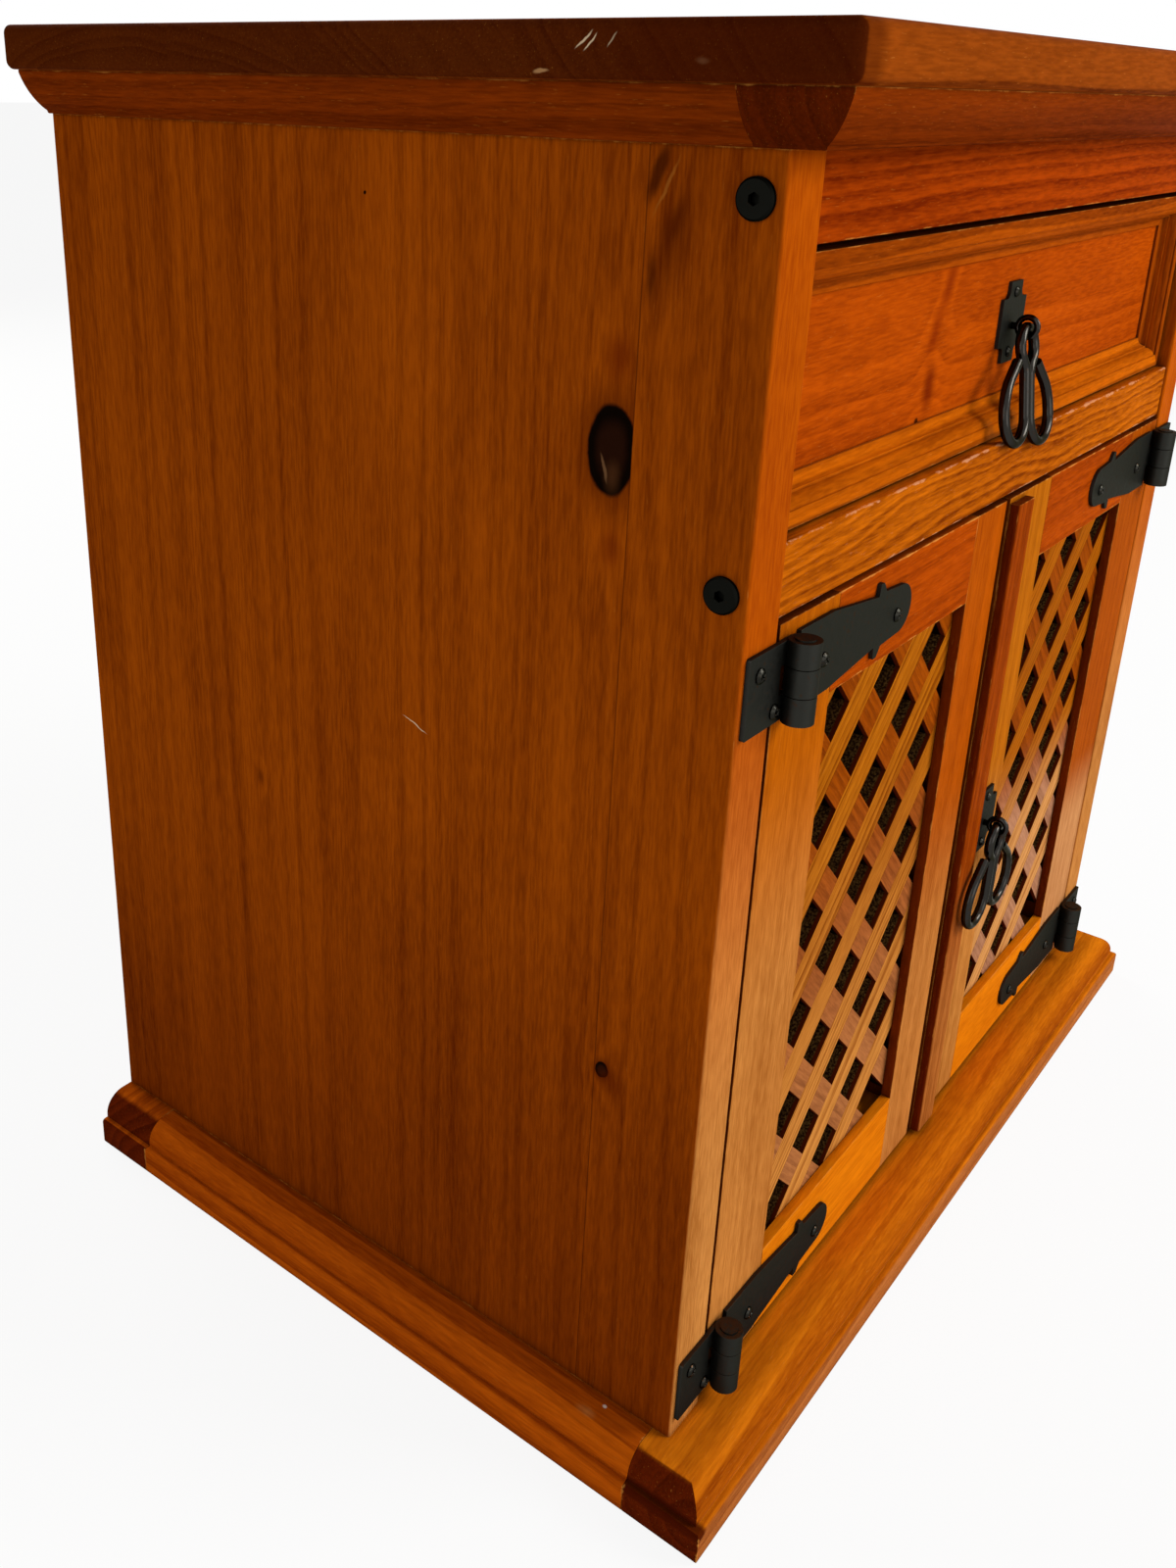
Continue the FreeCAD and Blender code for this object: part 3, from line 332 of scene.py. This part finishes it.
def fineFibre(add, board):
    fibre = add("Mapping", {}, {"Vector": board, "Scale": perSize(grainSizes["fibre"])})
    fibre = add("TexNoise", {}, {"Vector": fibre, "Scale": 1.0, "Detail": 3.0, "Roughness": 0.6})
    pore = add("Mapping", {}, {"Vector": board, "Scale": perSize(grainSizes["pore"])})
    pore = add("TexNoise", {}, {"Vector": pore, "Scale": 1.0, "Detail": 3.0})
    pore = add("MapRange", {}, {"Value": pore, **growth["pore"]})
    return add("Mix", numberMix, {0: growth["poreShare"], 2: fibre, 3: pore})


def stainTone(add, board, band, fibre, look):
    # 1 is pale early wood and 0 dark late wood
    blotch = add("Mapping", {}, {"Vector": board, "Scale": perSize(grainSizes["blotch"])})
    blotch = add("TexNoise", {}, {"Vector": blotch, "Scale": 1.0, "Detail": 2.0})
    middle = growth["middle"] - (look["fibre"] + look["blotch"]) / 2
    tone = add("Math", {"operation": "MULTIPLY_ADD"}, {0: fibre, 1: look["fibre"], 2: middle})
    tone = add("Math", {"operation": "MULTIPLY_ADD"}, {0: blotch, 1: look["blotch"], 2: tone})
    return add("Math", {"operation": "MULTIPLY_ADD", "use_clamp": True},
               {0: band, 1: -look["contrast"], 2: tone})


# the listed fades: other stains, painted shade and painted reflections
def stainsAndPaintedLight(add, colour, tone, ways, facing, look):
    for change in look["fades"]:
        share = add("MapRange", smoothStep,
                    {"Value": ways[2], "From Min": change["low"] * mm, "From Max": change["high"] * mm,
                     "To Min": change["share"], "To Max": 0.0})
        seen = add("VectorMath", {"operation": "DOT_PRODUCT"}, {0: facing, 1: change["facing"]}, "Value")
        seen = add("MapRange", {}, {"Value": seen, **ageing["faceOn"]})
        share = add("Math", {"operation": "MULTIPLY"}, {0: share, 1: seen})
        other = add("Mix", colourMix, {0: tone, 6: toLinear(change["dark"]), 7: toLinear(change["pale"])}, 2)
        colour = add("Mix", colourMix, {0: share, 6: colour, 7: other}, 2)
    return colour


def darkEnds(add, colour, tone, facing, grain, look):
    # end grain drinks more stain
    stained = add("Mix", colourMix, {0: tone, 6: toLinear(look["endDark"]), 7: toLinear(look["endPale"])}, 2)
    grainWay = Vector(grain).normalized()
    along = add("VectorMath", {"operation": "DOT_PRODUCT"}, {0: facing, 1: grainWay}, "Value")
    along = add("Math", {"operation": "ABSOLUTE"}, {0: along})
    share = add("MapRange", smoothStep, {"Value": along, **growth["endGrain"]})
    return add("Mix", colourMix, {0: share, 6: colour, 7: stained}, 2)


def glueLines(add, colour, ways, look):
    # thin and dark
    half = ageing["glueHalf"] * mm
    for axis, level in look["joints"]:
        line = add("Math", {"operation": "COMPARE"}, {0: ways[axis], 1: level * mm, 2: half})
        line = add("Math", {"operation": "MULTIPLY"}, {0: line, 1: ageing["glueShare"]})
        colour = add("Mix", colourMix, {0: line, 6: colour, 7: toLinear(look["endDark"])}, 2)
    return colour


def scuffed(add, colour, board, look):
    # short pale rubs, a little across the grain
    lean = [radians(ageing["scuffTurn"])] * 3
    scuff = add("Mapping", {}, {"Vector": board, "Rotation": lean, "Scale": perSize(grainSizes["scuff"])})
    scuff = add("TexNoise", {}, {"Vector": scuff, "Scale": 1.0, "Detail": 2.0})
    scuff = add("MapRange", {}, {"Value": scuff, **ageing["scuff"], "To Max": look["scuffs"]})
    return add("Mix", colourMix, {0: scuff, 6: colour, 7: toLinear(look["worn"])}, 2)


def marked(add, colour, reaches, ways, look):
    for reach, mark in zip(reaches, look["marks"]):
        share = add("MapRange", smoothStep,
                    {"Value": reach, "From Min": 1 - mark["soft"], "From Max": 1.0,
                     "To Min": mark["share"], "To Max": 0.0})
        if "beyond" in mark:   # cut off at a glue line
            axis, level = mark["beyond"]
            kept = add("Math", {"operation": "GREATER_THAN"}, {0: ways[axis], 1: level * mm})
            share = add("Math", {"operation": "MULTIPLY"}, {0: share, 1: kept})
        colour = add("Mix", colourMix, {0: share, 6: colour, 7: toLinear(mark["colour"])}, 2)
    return colour


def rubbedArris(add, place, board, node, look):
    # distance to the nearest arris of the board's box: the middle one of the three face distances
    low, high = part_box(node)
    fromLow = add("VectorMath", {"operation": "SUBTRACT"}, {0: place, 1: low})
    fromHigh = add("VectorMath", {"operation": "SUBTRACT"}, {0: high, 1: place})
    inset = add("VectorMath", {"operation": "MINIMUM"}, {0: fromLow, 1: fromHigh})
    inset = add("SeparateXYZ", {}, {"Vector": inset}).node.outputs
    least = add("Math", {"operation": "MINIMUM"}, {0: inset[0], 1: inset[1]})
    most = add("Math", {"operation": "MAXIMUM"}, {0: inset[0], 1: inset[1]})
    most = add("Math", {"operation": "MINIMUM"}, {0: most, 1: inset[2]})
    arris = add("Math", {"operation": "MAXIMUM"}, {0: least, 1: most})
    rub = add("Mapping", {}, {"Vector": board, "Scale": perSize(grainSizes["rub"])})
    rub = add("TexNoise", {}, {"Vector": rub, "Scale": 1.0, "Detail": 4.0, "Roughness": 0.65})
    deepest = ageing["rubbed"] * mm * look["wear"]
    reach = add("MapRange", {}, {"Value": rub, **ageing["rub"], "To Max": deepest})
    over = add("Math", {"operation": "SUBTRACT"}, {0: reach, 1: arris})
    return add("MapRange", smoothStep, {"Value": over, **ageing["arris"], "To Max": ageing["rubShare"]})


# painted shade: colour darkened where ambient occlusion finds corners and gaps, near black on most boards and
# dusty on the drawer mouldings
def shadeAndDustInCorners(add, colour, look):
    corner = add("AmbientOcclusion", {"samples": 4}, {"Distance": cornerShadeAndDustSizes["reach"] * mm}, "AO")
    cornerShadeAndDust = add("MapRange", smoothStep,
                {"Value": corner, "From Min": cornerShadeAndDustSizes["deep"], "From Max": cornerShadeAndDustSizes["clear"],
                 "To Min": cornerShadeAndDustSizes["share"], "To Max": 0.0})
    return add("Mix", colourMix, {0: cornerShadeAndDust, 6: colour, 7: toLinear(look["cornerShadeAndDust"])}, 2)


def sawnSides(add, colour, place, ways, facing, node, sawn):
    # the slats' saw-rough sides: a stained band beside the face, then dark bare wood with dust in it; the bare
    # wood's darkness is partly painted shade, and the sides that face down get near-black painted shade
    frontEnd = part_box(node)[0].y
    faced = add("SeparateXYZ", {}, {"Vector": facing}).node.outputs
    outward = add("Math", {"operation": "ABSOLUTE"}, {0: faced[1]})
    side = add("MapRange", {}, {"Value": outward, **sawing["side"]})
    speck = add("TexNoise", {}, {"Vector": place, "Scale": 1 / (sawn["speck"] * mm), "Detail": 3.0})
    speck = add("MapRange", {}, {"Value": speck, **sawing["dust"]})
    bare = add("Mix", colourMix, {0: speck, 6: toLinear(sawn["bare"]), 7: toLinear(sawn["dust"])}, 2)
    # painted shade: the sides that face down go near black
    under = add("MapRange", {}, {"Value": faced[2], **sawing["under"]})
    bare = add("Mix", colourMix, {0: under, 6: bare, 7: toLinear(sawn["under"])}, 2)
    bandEnd = frontEnd + sawn["band"] * mm
    deep = add("MapRange", smoothStep, {"Value": ways[1], "From Min": bandEnd, "From Max": bandEnd + mm})
    rough = add("Mix", colourMix, {0: deep, 6: toLinear(sawn["stain"]), 7: bare}, 2)
    return add("Mix", colourMix, {0: side, 6: colour, 7: rough}, 2)


def pine(name, node, grain, look):
    draw = random.Random(name)
    material, add = newMaterial(name)
    place = add("TexCoord", {}, {}, "Object")
    facing = add("TexCoord", {}, {}, "Normal")
    ways = add("SeparateXYZ", {}, {"Vector": place}).node.outputs
    board = boardSpace(add, place, ways, node, grain, look, draw)
    uneven = unevenPlace(add, place)
    reaches = [markReach(add, uneven, mark) for mark in look["marks"]]
    swells = [(reach, mark["swell"]) for reach, mark in zip(reaches, look["marks"]) if "swell" in mark]
    band = yearRings(add, board, swells, look)
    fibre = fineFibre(add, board)
    tone = stainTone(add, board, band, fibre, look)
    colour = add("Mix", colourMix, {0: tone, 6: toLinear(look["dark"]), 7: toLinear(look["pale"])}, 2)
    colour = stainsAndPaintedLight(add, colour, tone, ways, facing, look)
    colour = darkEnds(add, colour, tone, facing, grain, look)
    colour = glueLines(add, colour, ways, look)
    colour = scuffed(add, colour, board, look)
    colour = marked(add, colour, reaches, ways, look)
    worn = rubbedArris(add, place, board, node, look)
    colour = add("Mix", colourMix, {0: worn, 6: colour, 7: toLinear(look["worn"])}, 2)
    colour = shadeAndDustInCorners(add, colour, look)
    if look["sawn"]:
        colour = sawnSides(add, colour, place, ways, facing, node, look["sawn"])
    spread = lacquer["roughSpread"]
    rough = add("MapRange", {},
                {"Value": tone, "To Min": look["rough"] + spread, "To Max": look["rough"] - spread})
    rough = add("Math", {"operation": "MULTIPLY_ADD"}, {0: worn, 1: lacquer["wornRough"], 2: rough})
    relief = add("Math", {"operation": "MULTIPLY_ADD"}, {0: band, 1: lacquer["bandRelief"], 2: fibre})
    bump = add("Bump", {}, {"Height": relief, "Strength": lacquer["relief"],
                            "Distance": lacquer["reliefDepth"] * mm})
    surface = add("BsdfPrincipled", {}, {"Base Color": colour, "Roughness": rough, "Normal": bump,
                                         "Specular IOR Level": look["specular"]})
    add("OutputMaterial", {}, {"Surface": surface})
    return material


alongX, alongY, alongZ = (1, 0.01, 0.012), (0.012, 1, 0.01), (0.012, 0.01, 1)
rising, falling = (1, 0, 1), (1, 0, -1)
front, leftward, upward = (0, -1, 0), (-1, 0, 0), (0, 0, 1)
slabEnd, sideFace, drawerFace = -300, -277, -160.5   # the faces that carry marks
frontJoint = (1, -125.5)   # the glue line behind the side panel's front stave
wholeHeight = (700, 800)   # above the cabinet, so a fade that ends there covers all of a board
# painted shade: door faces that look left are darkened at every height, as if out of the key lamp's light
paintedLeftShade = fade(*wholeHeight, "#661f03", "#451102", 0.8, leftward)
slabPine = {**honeyPine, "pale": "#95450d", "dark": "#5d2304", "endPale": "#592507", "endDark": "#431603",
            "heart": (0, 160, -230), "contrast": 0.5, "staves": [(1, 22), (1, -47), (1, -118), (1, 96)],
            "marks": scratch((slabEnd, -112.3, 623.4), 10.2, -43)
            + scratch((slabEnd, -115, 623.1), 8.5, -48)
            + scratch((slabEnd, -123.4, 623.4), 6.7, -60, share=0.5)
            + [patch((slabEnd, -95, 613.6), (2, 3.5, 0.9), "#b98a5a", 0.7, 0.6),
               patch((slabEnd, -157.2, 617.8), (2, 3.4, 1.6), "#a3714c", 0.4, 0.9),
               patch((slabEnd, -190, 620), (20, 85, 60), "#3c0c01", 0.5, 0.5)]}
bigKnot = knot((sideFace, -116.5, 484), (40, 11.5, 18.5), beyond=frontJoint) + [
    patch((sideFace, -118, 519), (20, 9, 13), "#661c02", 0.6, 0.9, beyond=frontJoint),
    patch((sideFace, -118, 447), (20, 7, 11), "#661c02", 0.6, 0.9, beyond=frontJoint),
    patch((sideFace, -117.5, 474), (20, 5.5, 9), "#4a2b16", 0.7, 0.9, beyond=frontJoint),
    patch((sideFace, -113.6, 477), (20, 0.9, 7), "#7a5638", 0.7, 0.6, turn=(-14, 0, 0))]
staveSwirl = [   # curly dark grain at the top of the front stave, with one pale line
    patch((sideFace, -137, 560), (20, 11, 34), "#4a1502", 0.5, 0.95, turn=(14, 0, 0), swell=0.6),
    patch((sideFace, -129.4, 583), (20, 4, 14), "#350e02", 0.8, 0.7, turn=(20, 0, 0)),
    patch((sideFace, -137.5, 567), (20, 5, 14), "#4a1602", 0.6, 0.9, turn=(25, 0, 0)),
    patch((sideFace, -129.3, 548), (20, 3.2, 13), "#3f1403", 0.6, 0.9),
    patch((sideFace, -133, 578), (20, 0.9, 14), "#a4601f", 0.6, 0.7, turn=(25, 0, 0))]
smallKnot = knot((sideFace, -129.4, 212.6), (40, 3.4, 4.4)) + [
    patch((sideFace, -135, 209), (20, 12, 9), "#5d1d02", 0.5, 0.95)]
sideSpots = [patch((sideFace, 82, 284), (20, 3, 6), "#551d02", 0.6, 0.9, swell=0.8),
             patch((sideFace, 7.4, 567.7), (5, 0.9, 1), "#140602", 1.0, 0.4)]
sidePine = {**honeyPine, "pale": "#a84d05", "dark": "#6c2802", "ring": 11.0, "wander": 9.0, "contrast": 0.36,
            "fibre": 0.8, "edge": 0.6, "blotch": 1.0, "scuffs": 0.1,
            "staves": [(1, 94.5), (1, 13), (1, -67), frontJoint], "joints": [frontJoint],
            "marks": bigKnot + smallKnot + staveSwirl + sideSpots
            + scratch((sideFace, -20.8, 343.8), 17, 20, width=0.4),
            "fades": [fade(60, 330, "#7c3003", "#541b02", 0.6, leftward),
                      # the side panel's front edge carries painted reflection of the floor low down
                      fade(*wholeHeight, "#bc5705", "#8d3303", 0.9, front), paintedFloorReflection(150, 430, 0.9)]}
crownPine = {**honeyPine, "pale": "#863404", "dark": "#521a02", "contrast": 0.4,
             "endPale": "#5e1e03", "endDark": "#3f1202"}
basePine = {**honeyPine, "pale": "#d2620b", "dark": "#953b04", "endPale": "#6e2305", "endDark": "#4a1403",
            "wear": 0.5, "fades": [fade(14, 20, "#c4814a", "#94562a", 0.5, front)]}
baseSidePine = {**basePine, "marks": [patch((-281.5, -145.7, 31), (1.3, 1.6, 3), "#efe2cf", 0.95, 0.5),
                                      patch((-288, -139.7, 29), (3, 8, 4), "#c88a48", 0.55, 0.9)]}
baseFrontPine = {**basePine, "pale": "#c2640c", "dark": "#843805", "contrast": 0.5, "scuffs": 0.35,
                 "marks": [patch((-299, -190, 17), (7, 70, 5), "#4a1403", 0.95, 0.5)],
                 "fades": basePine["fades"] + [fade(40, 50, "#e07d10", "#ac5307", 0.9, upward)]}
topRailPine = {**honeyPine, "pale": "#ab4104", "dark": "#6a1e02", "ring": 6.0, "wander": 9.0,
               "drift": (160, 50), "contrast": 0.52, "wear": 0.45}
midRailPine = {**honeyPine, "worn": "#d29064", "pale": "#cb6808", "dark": "#722d03", "ring": 6.5,
               "wander": 34.0, "drift": (150, 80), "contrast": 0.6, "edge": 0.75, "wear": 0.9}
drawerPine = {**honeyPine, "pale": "#bb4e05", "dark": "#7c2902", "contrast": 0.35, "marks": [
    patch((-82, drawerFace, 532), (9, 20, 19), "#661402", 0.65, 0.95, turn=(0, 22, 0), swell=0.5),
    patch((-92, drawerFace, 512), (8, 20, 17), "#6a1602", 0.55, 0.95, turn=(0, 16, 0)),
    patch((-91, drawerFace, 487), (10, 20, 17), "#5a1002", 0.75, 0.9, swell=0.7),
    patch((-100.8, drawerFace, 473.3), (3, 20, 2.2), "#1c0802", 0.9, 0.6),
    patch((-148.6, drawerFace, 521.4), (9, 20, 6), "#842c03", 0.4, 0.95)]}
# the drawer mouldings' corner colour is dust over painted shade
mouldPine = {**honeyPine, "pale": "#a84a05", "dark": "#6d2903", "cornerShadeAndDust": "#38230f"}
lowMouldPine = {**mouldPine, "pale": "#cf6606", "dark": "#924103", "cornerShadeAndDust": "#4d3a22"}
# the door boards' lower fronts carry painted reflection of the floor
doorPine = {**honeyPine, "pale": "#bf6206", "dark": "#8d3f03", "contrast": 0.28, "edge": 0.55,
            "fades": [paintedFloorReflection(230, 370), paintedLeftShade]}
leftMeetPine = {**doorPine, "pale": "#b85506", "dark": "#823203", "fades": [paintedFloorReflection(160, 280), paintedLeftShade]}
rightMeetPine = {**doorPine, "pale": "#be6a0c", "dark": "#894506", "fades": [paintedFloorReflection(200, 270), paintedLeftShade]}
rightHingePine = {**doorPine, "pale": "#ae5006", "dark": "#7a3003",
                  "fades": [paintedFloorReflection(145, 205, 0.75, "#d9a26a", "#b07442"), paintedLeftShade]}
doorHeadPine = {**honeyPine, "pale": "#b44a04", "dark": "#792902", "contrast": 0.32, "wear": 0.5}
# painted light: brighter than the other door boards, making up for the weaker lamp light low on the doors
doorFootPine = {**doorPine, "pale": "#e8830c", "dark": "#bb5b05", "fades": []}
# the astragal's lower front carries painted reflection of the floor
coverPine = {**honeyPine, "pale": "#a04405", "dark": "#672002", "contrast": 0.4,
             "fades": [paintedFloorReflection(120, 225, 0.45), paintedLeftShade]}
# under is near-black painted shade on the downward sides; the dark bare colour is partly painted shade
slatSides = {"stain": "#561c05", "bare": "#2c190b", "dust": "#745228", "under": "#110603",
             "band": 1.8, "speck": 1.1}
# the slats' lower front faces carry painted reflection of the floor
goldSlat = {**honeyPine, "pale": "#ba6a0e", "dark": "#7c3b05", "ring": 4.5, "contrast": 0.7, "wear": 0.15,
            "sawn": slatSides, "fades": [paintedFloorReflection(100, 330, 0.75, "#d8954a", "#9c5b22")]}
roseSlat = {**honeyPine, "pale": "#9d4805", "dark": "#652803", "ring": 5.0, "contrast": 0.45, "wear": 0.15,
            "sawn": slatSides, "fades": [paintedFloorReflection(100, 330, 0.75, "#bb7c4a", "#834f2c")]}
rightGold = {**goldSlat, "pale": "#b06009", "fades": [paintedFloorReflection(180, 250, 0.75, "#dda362", "#a86a34")]}
rightRose = {**roseSlat, "fades": [paintedFloorReflection(180, 250, 0.75, "#c39270", "#8d5f44")]}
rawPine = {**honeyPine, "pale": "#c99d63", "dark": "#9a6a36", "endPale": "#a9804e", "endDark": "#7c5730",
           "wear": 0.0, "rough": 0.7}   # planed and left bare
plywood = {**rawPine, "pale": "#a5774a", "dark": "#7d5530", "contrast": 0.3}   # rotary-cut face veneer
boards = {
    "top_slab": (alongX, slabPine), "crown_front": (alongX, crownPine), "crown_rear": (alongX, rawPine),
    "crown_left": (alongY, crownPine), "crown_right": (alongY, crownPine),
    "base_front": (alongX, baseFrontPine), "base_rear": (alongX, basePine),
    "base_left": (alongY, baseSidePine), "base_right": (alongY, basePine),
    "side_panel_left": (alongZ, sidePine), "side_panel_right": (alongZ, {**sidePine, "marks": []}),
    "top_rail": (alongX, topRailPine), "mid_rail": (alongX, midRailPine),
    "door_left_hinge_stile": (alongZ, doorPine), "door_left_meeting_stile": (alongZ, leftMeetPine),
    "door_left_top_rail": (alongX, doorHeadPine), "door_left_bottom_rail": (alongX, doorFootPine),
    "door_right_hinge_stile": (alongZ, rightHingePine), "door_right_meeting_stile": (alongZ, rightMeetPine),
    "door_right_top_rail": (alongX, doorHeadPine), "door_right_bottom_rail": (alongX, doorFootPine),
    "astragal": (alongZ, coverPine), "drawer_front": (alongX, drawerPine),
    "drawer_moulding_bottom": (alongX, lowMouldPine), "drawer_moulding_top": (alongX, mouldPine),
    "drawer_moulding_left": (alongZ, mouldPine), "drawer_moulding_right": (alongZ, mouldPine),
    "door_left_lattice_front": (rising, goldSlat), "door_left_lattice_back": (falling, roseSlat),
    "door_right_lattice_front": (rising, rightGold), "door_right_lattice_back": (falling, rightRose),
    "cupboard_floor": (alongX, rawPine), "drawer_runners": (alongY, rawPine),
    "drawer_kickers": (alongY, rawPine), "drawer_side_left": (alongY, rawPine),
    "drawer_side_right": (alongY, rawPine), "drawer_back": (alongX, rawPine),
    "back_panel": (alongZ, plywood), "drawer_bottom": (alongX, plywood),
}


def makeBoards():
    for node, (grain, look) in boards.items():
        piece = easedCopy(node, look["easing"], node + "_board")
        dress(piece, node, pine(node + "_pine", node, grain, look))
    print("boards dressed", len(boards))


# Oil-blackened wrought iron: near-black satin with soft hammer marks, brown rust on upward faces and
# polish where hands and screwdrivers have rubbed it. Sizes in millimetres.
blackIron = {"iron": "#2e2e2a", "rust": "#3a281a", "graze": "#b4b4af", "hammer": 7.0, "fleck": 2.2,
             "rough": 0.5, "smoother": 0.12, "rougher": 0.15, "dent": 0.4, "dentDepth": 0.4, "easing": 0.25,
             "topside": {"From Min": 0.6, "From Max": 0.95, "To Max": 0.25},
             "rusty": {"From Min": 0.58, "From Max": 0.78}}
handledIron = {**blackIron, "iron": "#302e2b", "rough": 0.18}
drivenIron = {**blackIron, "iron": "#262521", "rough": 0.26}
boltIron = {**blackIron, "iron": "#131310", "rust": "#1c140d", "graze": "#4a4a47"}


def wroughtIron(name, look):
    material, add = newMaterial(name)
    place = add("TexCoord", {}, {}, "Object")
    facing = add("TexCoord", {}, {}, "Normal")
    dents = add("TexNoise", {}, {"Vector": place, "Scale": 1 / (look["hammer"] * mm), "Detail": 2.0})
    fleck = add("TexNoise", {}, {"Vector": place, "Scale": 1 / (look["fleck"] * mm), "Detail": 4.0})
    faced = add("SeparateXYZ", {}, {"Vector": facing}).node.outputs
    topside = add("MapRange", {}, {"Value": faced[2], **look["topside"]})
    rusty = add("Math", {"operation": "ADD"}, {0: fleck, 1: topside})
    rusty = add("MapRange", smoothStep, {"Value": rusty, **look["rusty"]})
    colour = add("Mix", colourMix, {0: rusty, 6: toLinear(look["iron"]), 7: toLinear(look["rust"])}, 2)
    rough = add("MapRange", {}, {"Value": fleck, "To Min": look["rough"] - look["smoother"],
                                 "To Max": look["rough"] + look["rougher"]})
    bump = add("Bump", {}, {"Height": dents, "Strength": look["dent"], "Distance": look["dentDepth"] * mm})
    surface = add("BsdfPrincipled", {}, {"Base Color": colour, "Metallic": 1.0, "Roughness": rough,
                                         "Normal": bump, "Specular Tint": toLinear(look["graze"])})
    add("OutputMaterial", {}, {"Surface": surface})
    return material


# Wood screws: round heads with a cross recess for the driver. Sizes in millimetres.
crossRecess = {"length": 3.8, "width": 0.8, "depth": 1.0}


def headSpots(shape):
    # the front of each screw's head
    spots = []
    for start in shape.verts:
        if start.tag:
            continue
        start.tag = True
        screw = [start]
        for vert in screw:
            beside = [edge.other_vert(vert) for edge in vert.link_edges]
            for other in beside:
                if not other.tag:
                    other.tag = True
                    screw.append(other)
        low, high = [Vector([end(vert.co[way] for vert in screw) for way in range(3)]) for end in (min, max)]
        spots.append(Vector(((low.x + high.x) / 2, low.y, (low.z + high.z) / 2)))
    return spots


def crossBlades(spots, draw):
    blades = bmesh.new()
    size = Vector((crossRecess["length"], 2 * crossRecess["depth"], crossRecess["width"])) * mm
    for spot in spots:
        turn = draw.uniform(0, 90)
        for quarter in (0, 90):
            place = Matrix.Translation(spot) @ Matrix.Rotation(radians(turn + quarter), 4, "Y")
            bmesh.ops.create_cube(blades, size=1, matrix=place @ Matrix.Diagonal((*size, 1)))
    return blades


def crossedScrews(node):
    shape = mergedShape(node)
    blades = crossBlades(headSpots(shape), random.Random(node))
    screws = newPiece(node + "_iron", shape)
    cutter = newPiece("crossCutter", blades)
    cut = screws.modifiers.new("crossRecess", "BOOLEAN")
    cut.operation = "DIFFERENCE"
    cut.object = cutter
    cut.use_self = True
    cutScrews = screws.evaluated_get(bpy.context.evaluated_depsgraph_get())
    mesh = bpy.data.meshes.new_from_object(cutScrews)
    screws.modifiers.clear()
    screws.data = mesh
    mesh.set_sharp_from_angle(angle=radians(meshLimits["smooth"]))
    bpy.data.objects.remove(cutter)
    return screws


def makeIron():
    plate = wroughtIron("oiledIron", blackIron)
    handled = wroughtIron("handledIron", handledIron)
    driven = wroughtIron("drivenIron", drivenIron)
    sunk = wroughtIron("sunkIron", boltIron)
    ownIron = {"connector_bolts": sunk, "door_pull_nails": driven, "drawer_pull_nails": driven}
    for node, thing in frame["nodes"].items():
        if node in boards:
            continue
        if "screws" in node:
            dress(crossedScrews(node), node, driven)
        elif node.endswith(("drop", "eye")):
            dress(easedCopy(node, blackIron["easing"], node + "_iron"), node, handled)
        elif node.startswith(("hinge_leaf", "hinge_strap")):
            dress(easedCopy(node, blackIron["easing"], node + "_iron"), node, plate)
        else:
            thing.material_slots[0].material = ownIron.get(node, plate)
    print("iron blackened")


makeCamera()
makeStudio()
makeBoards()
makeIron()
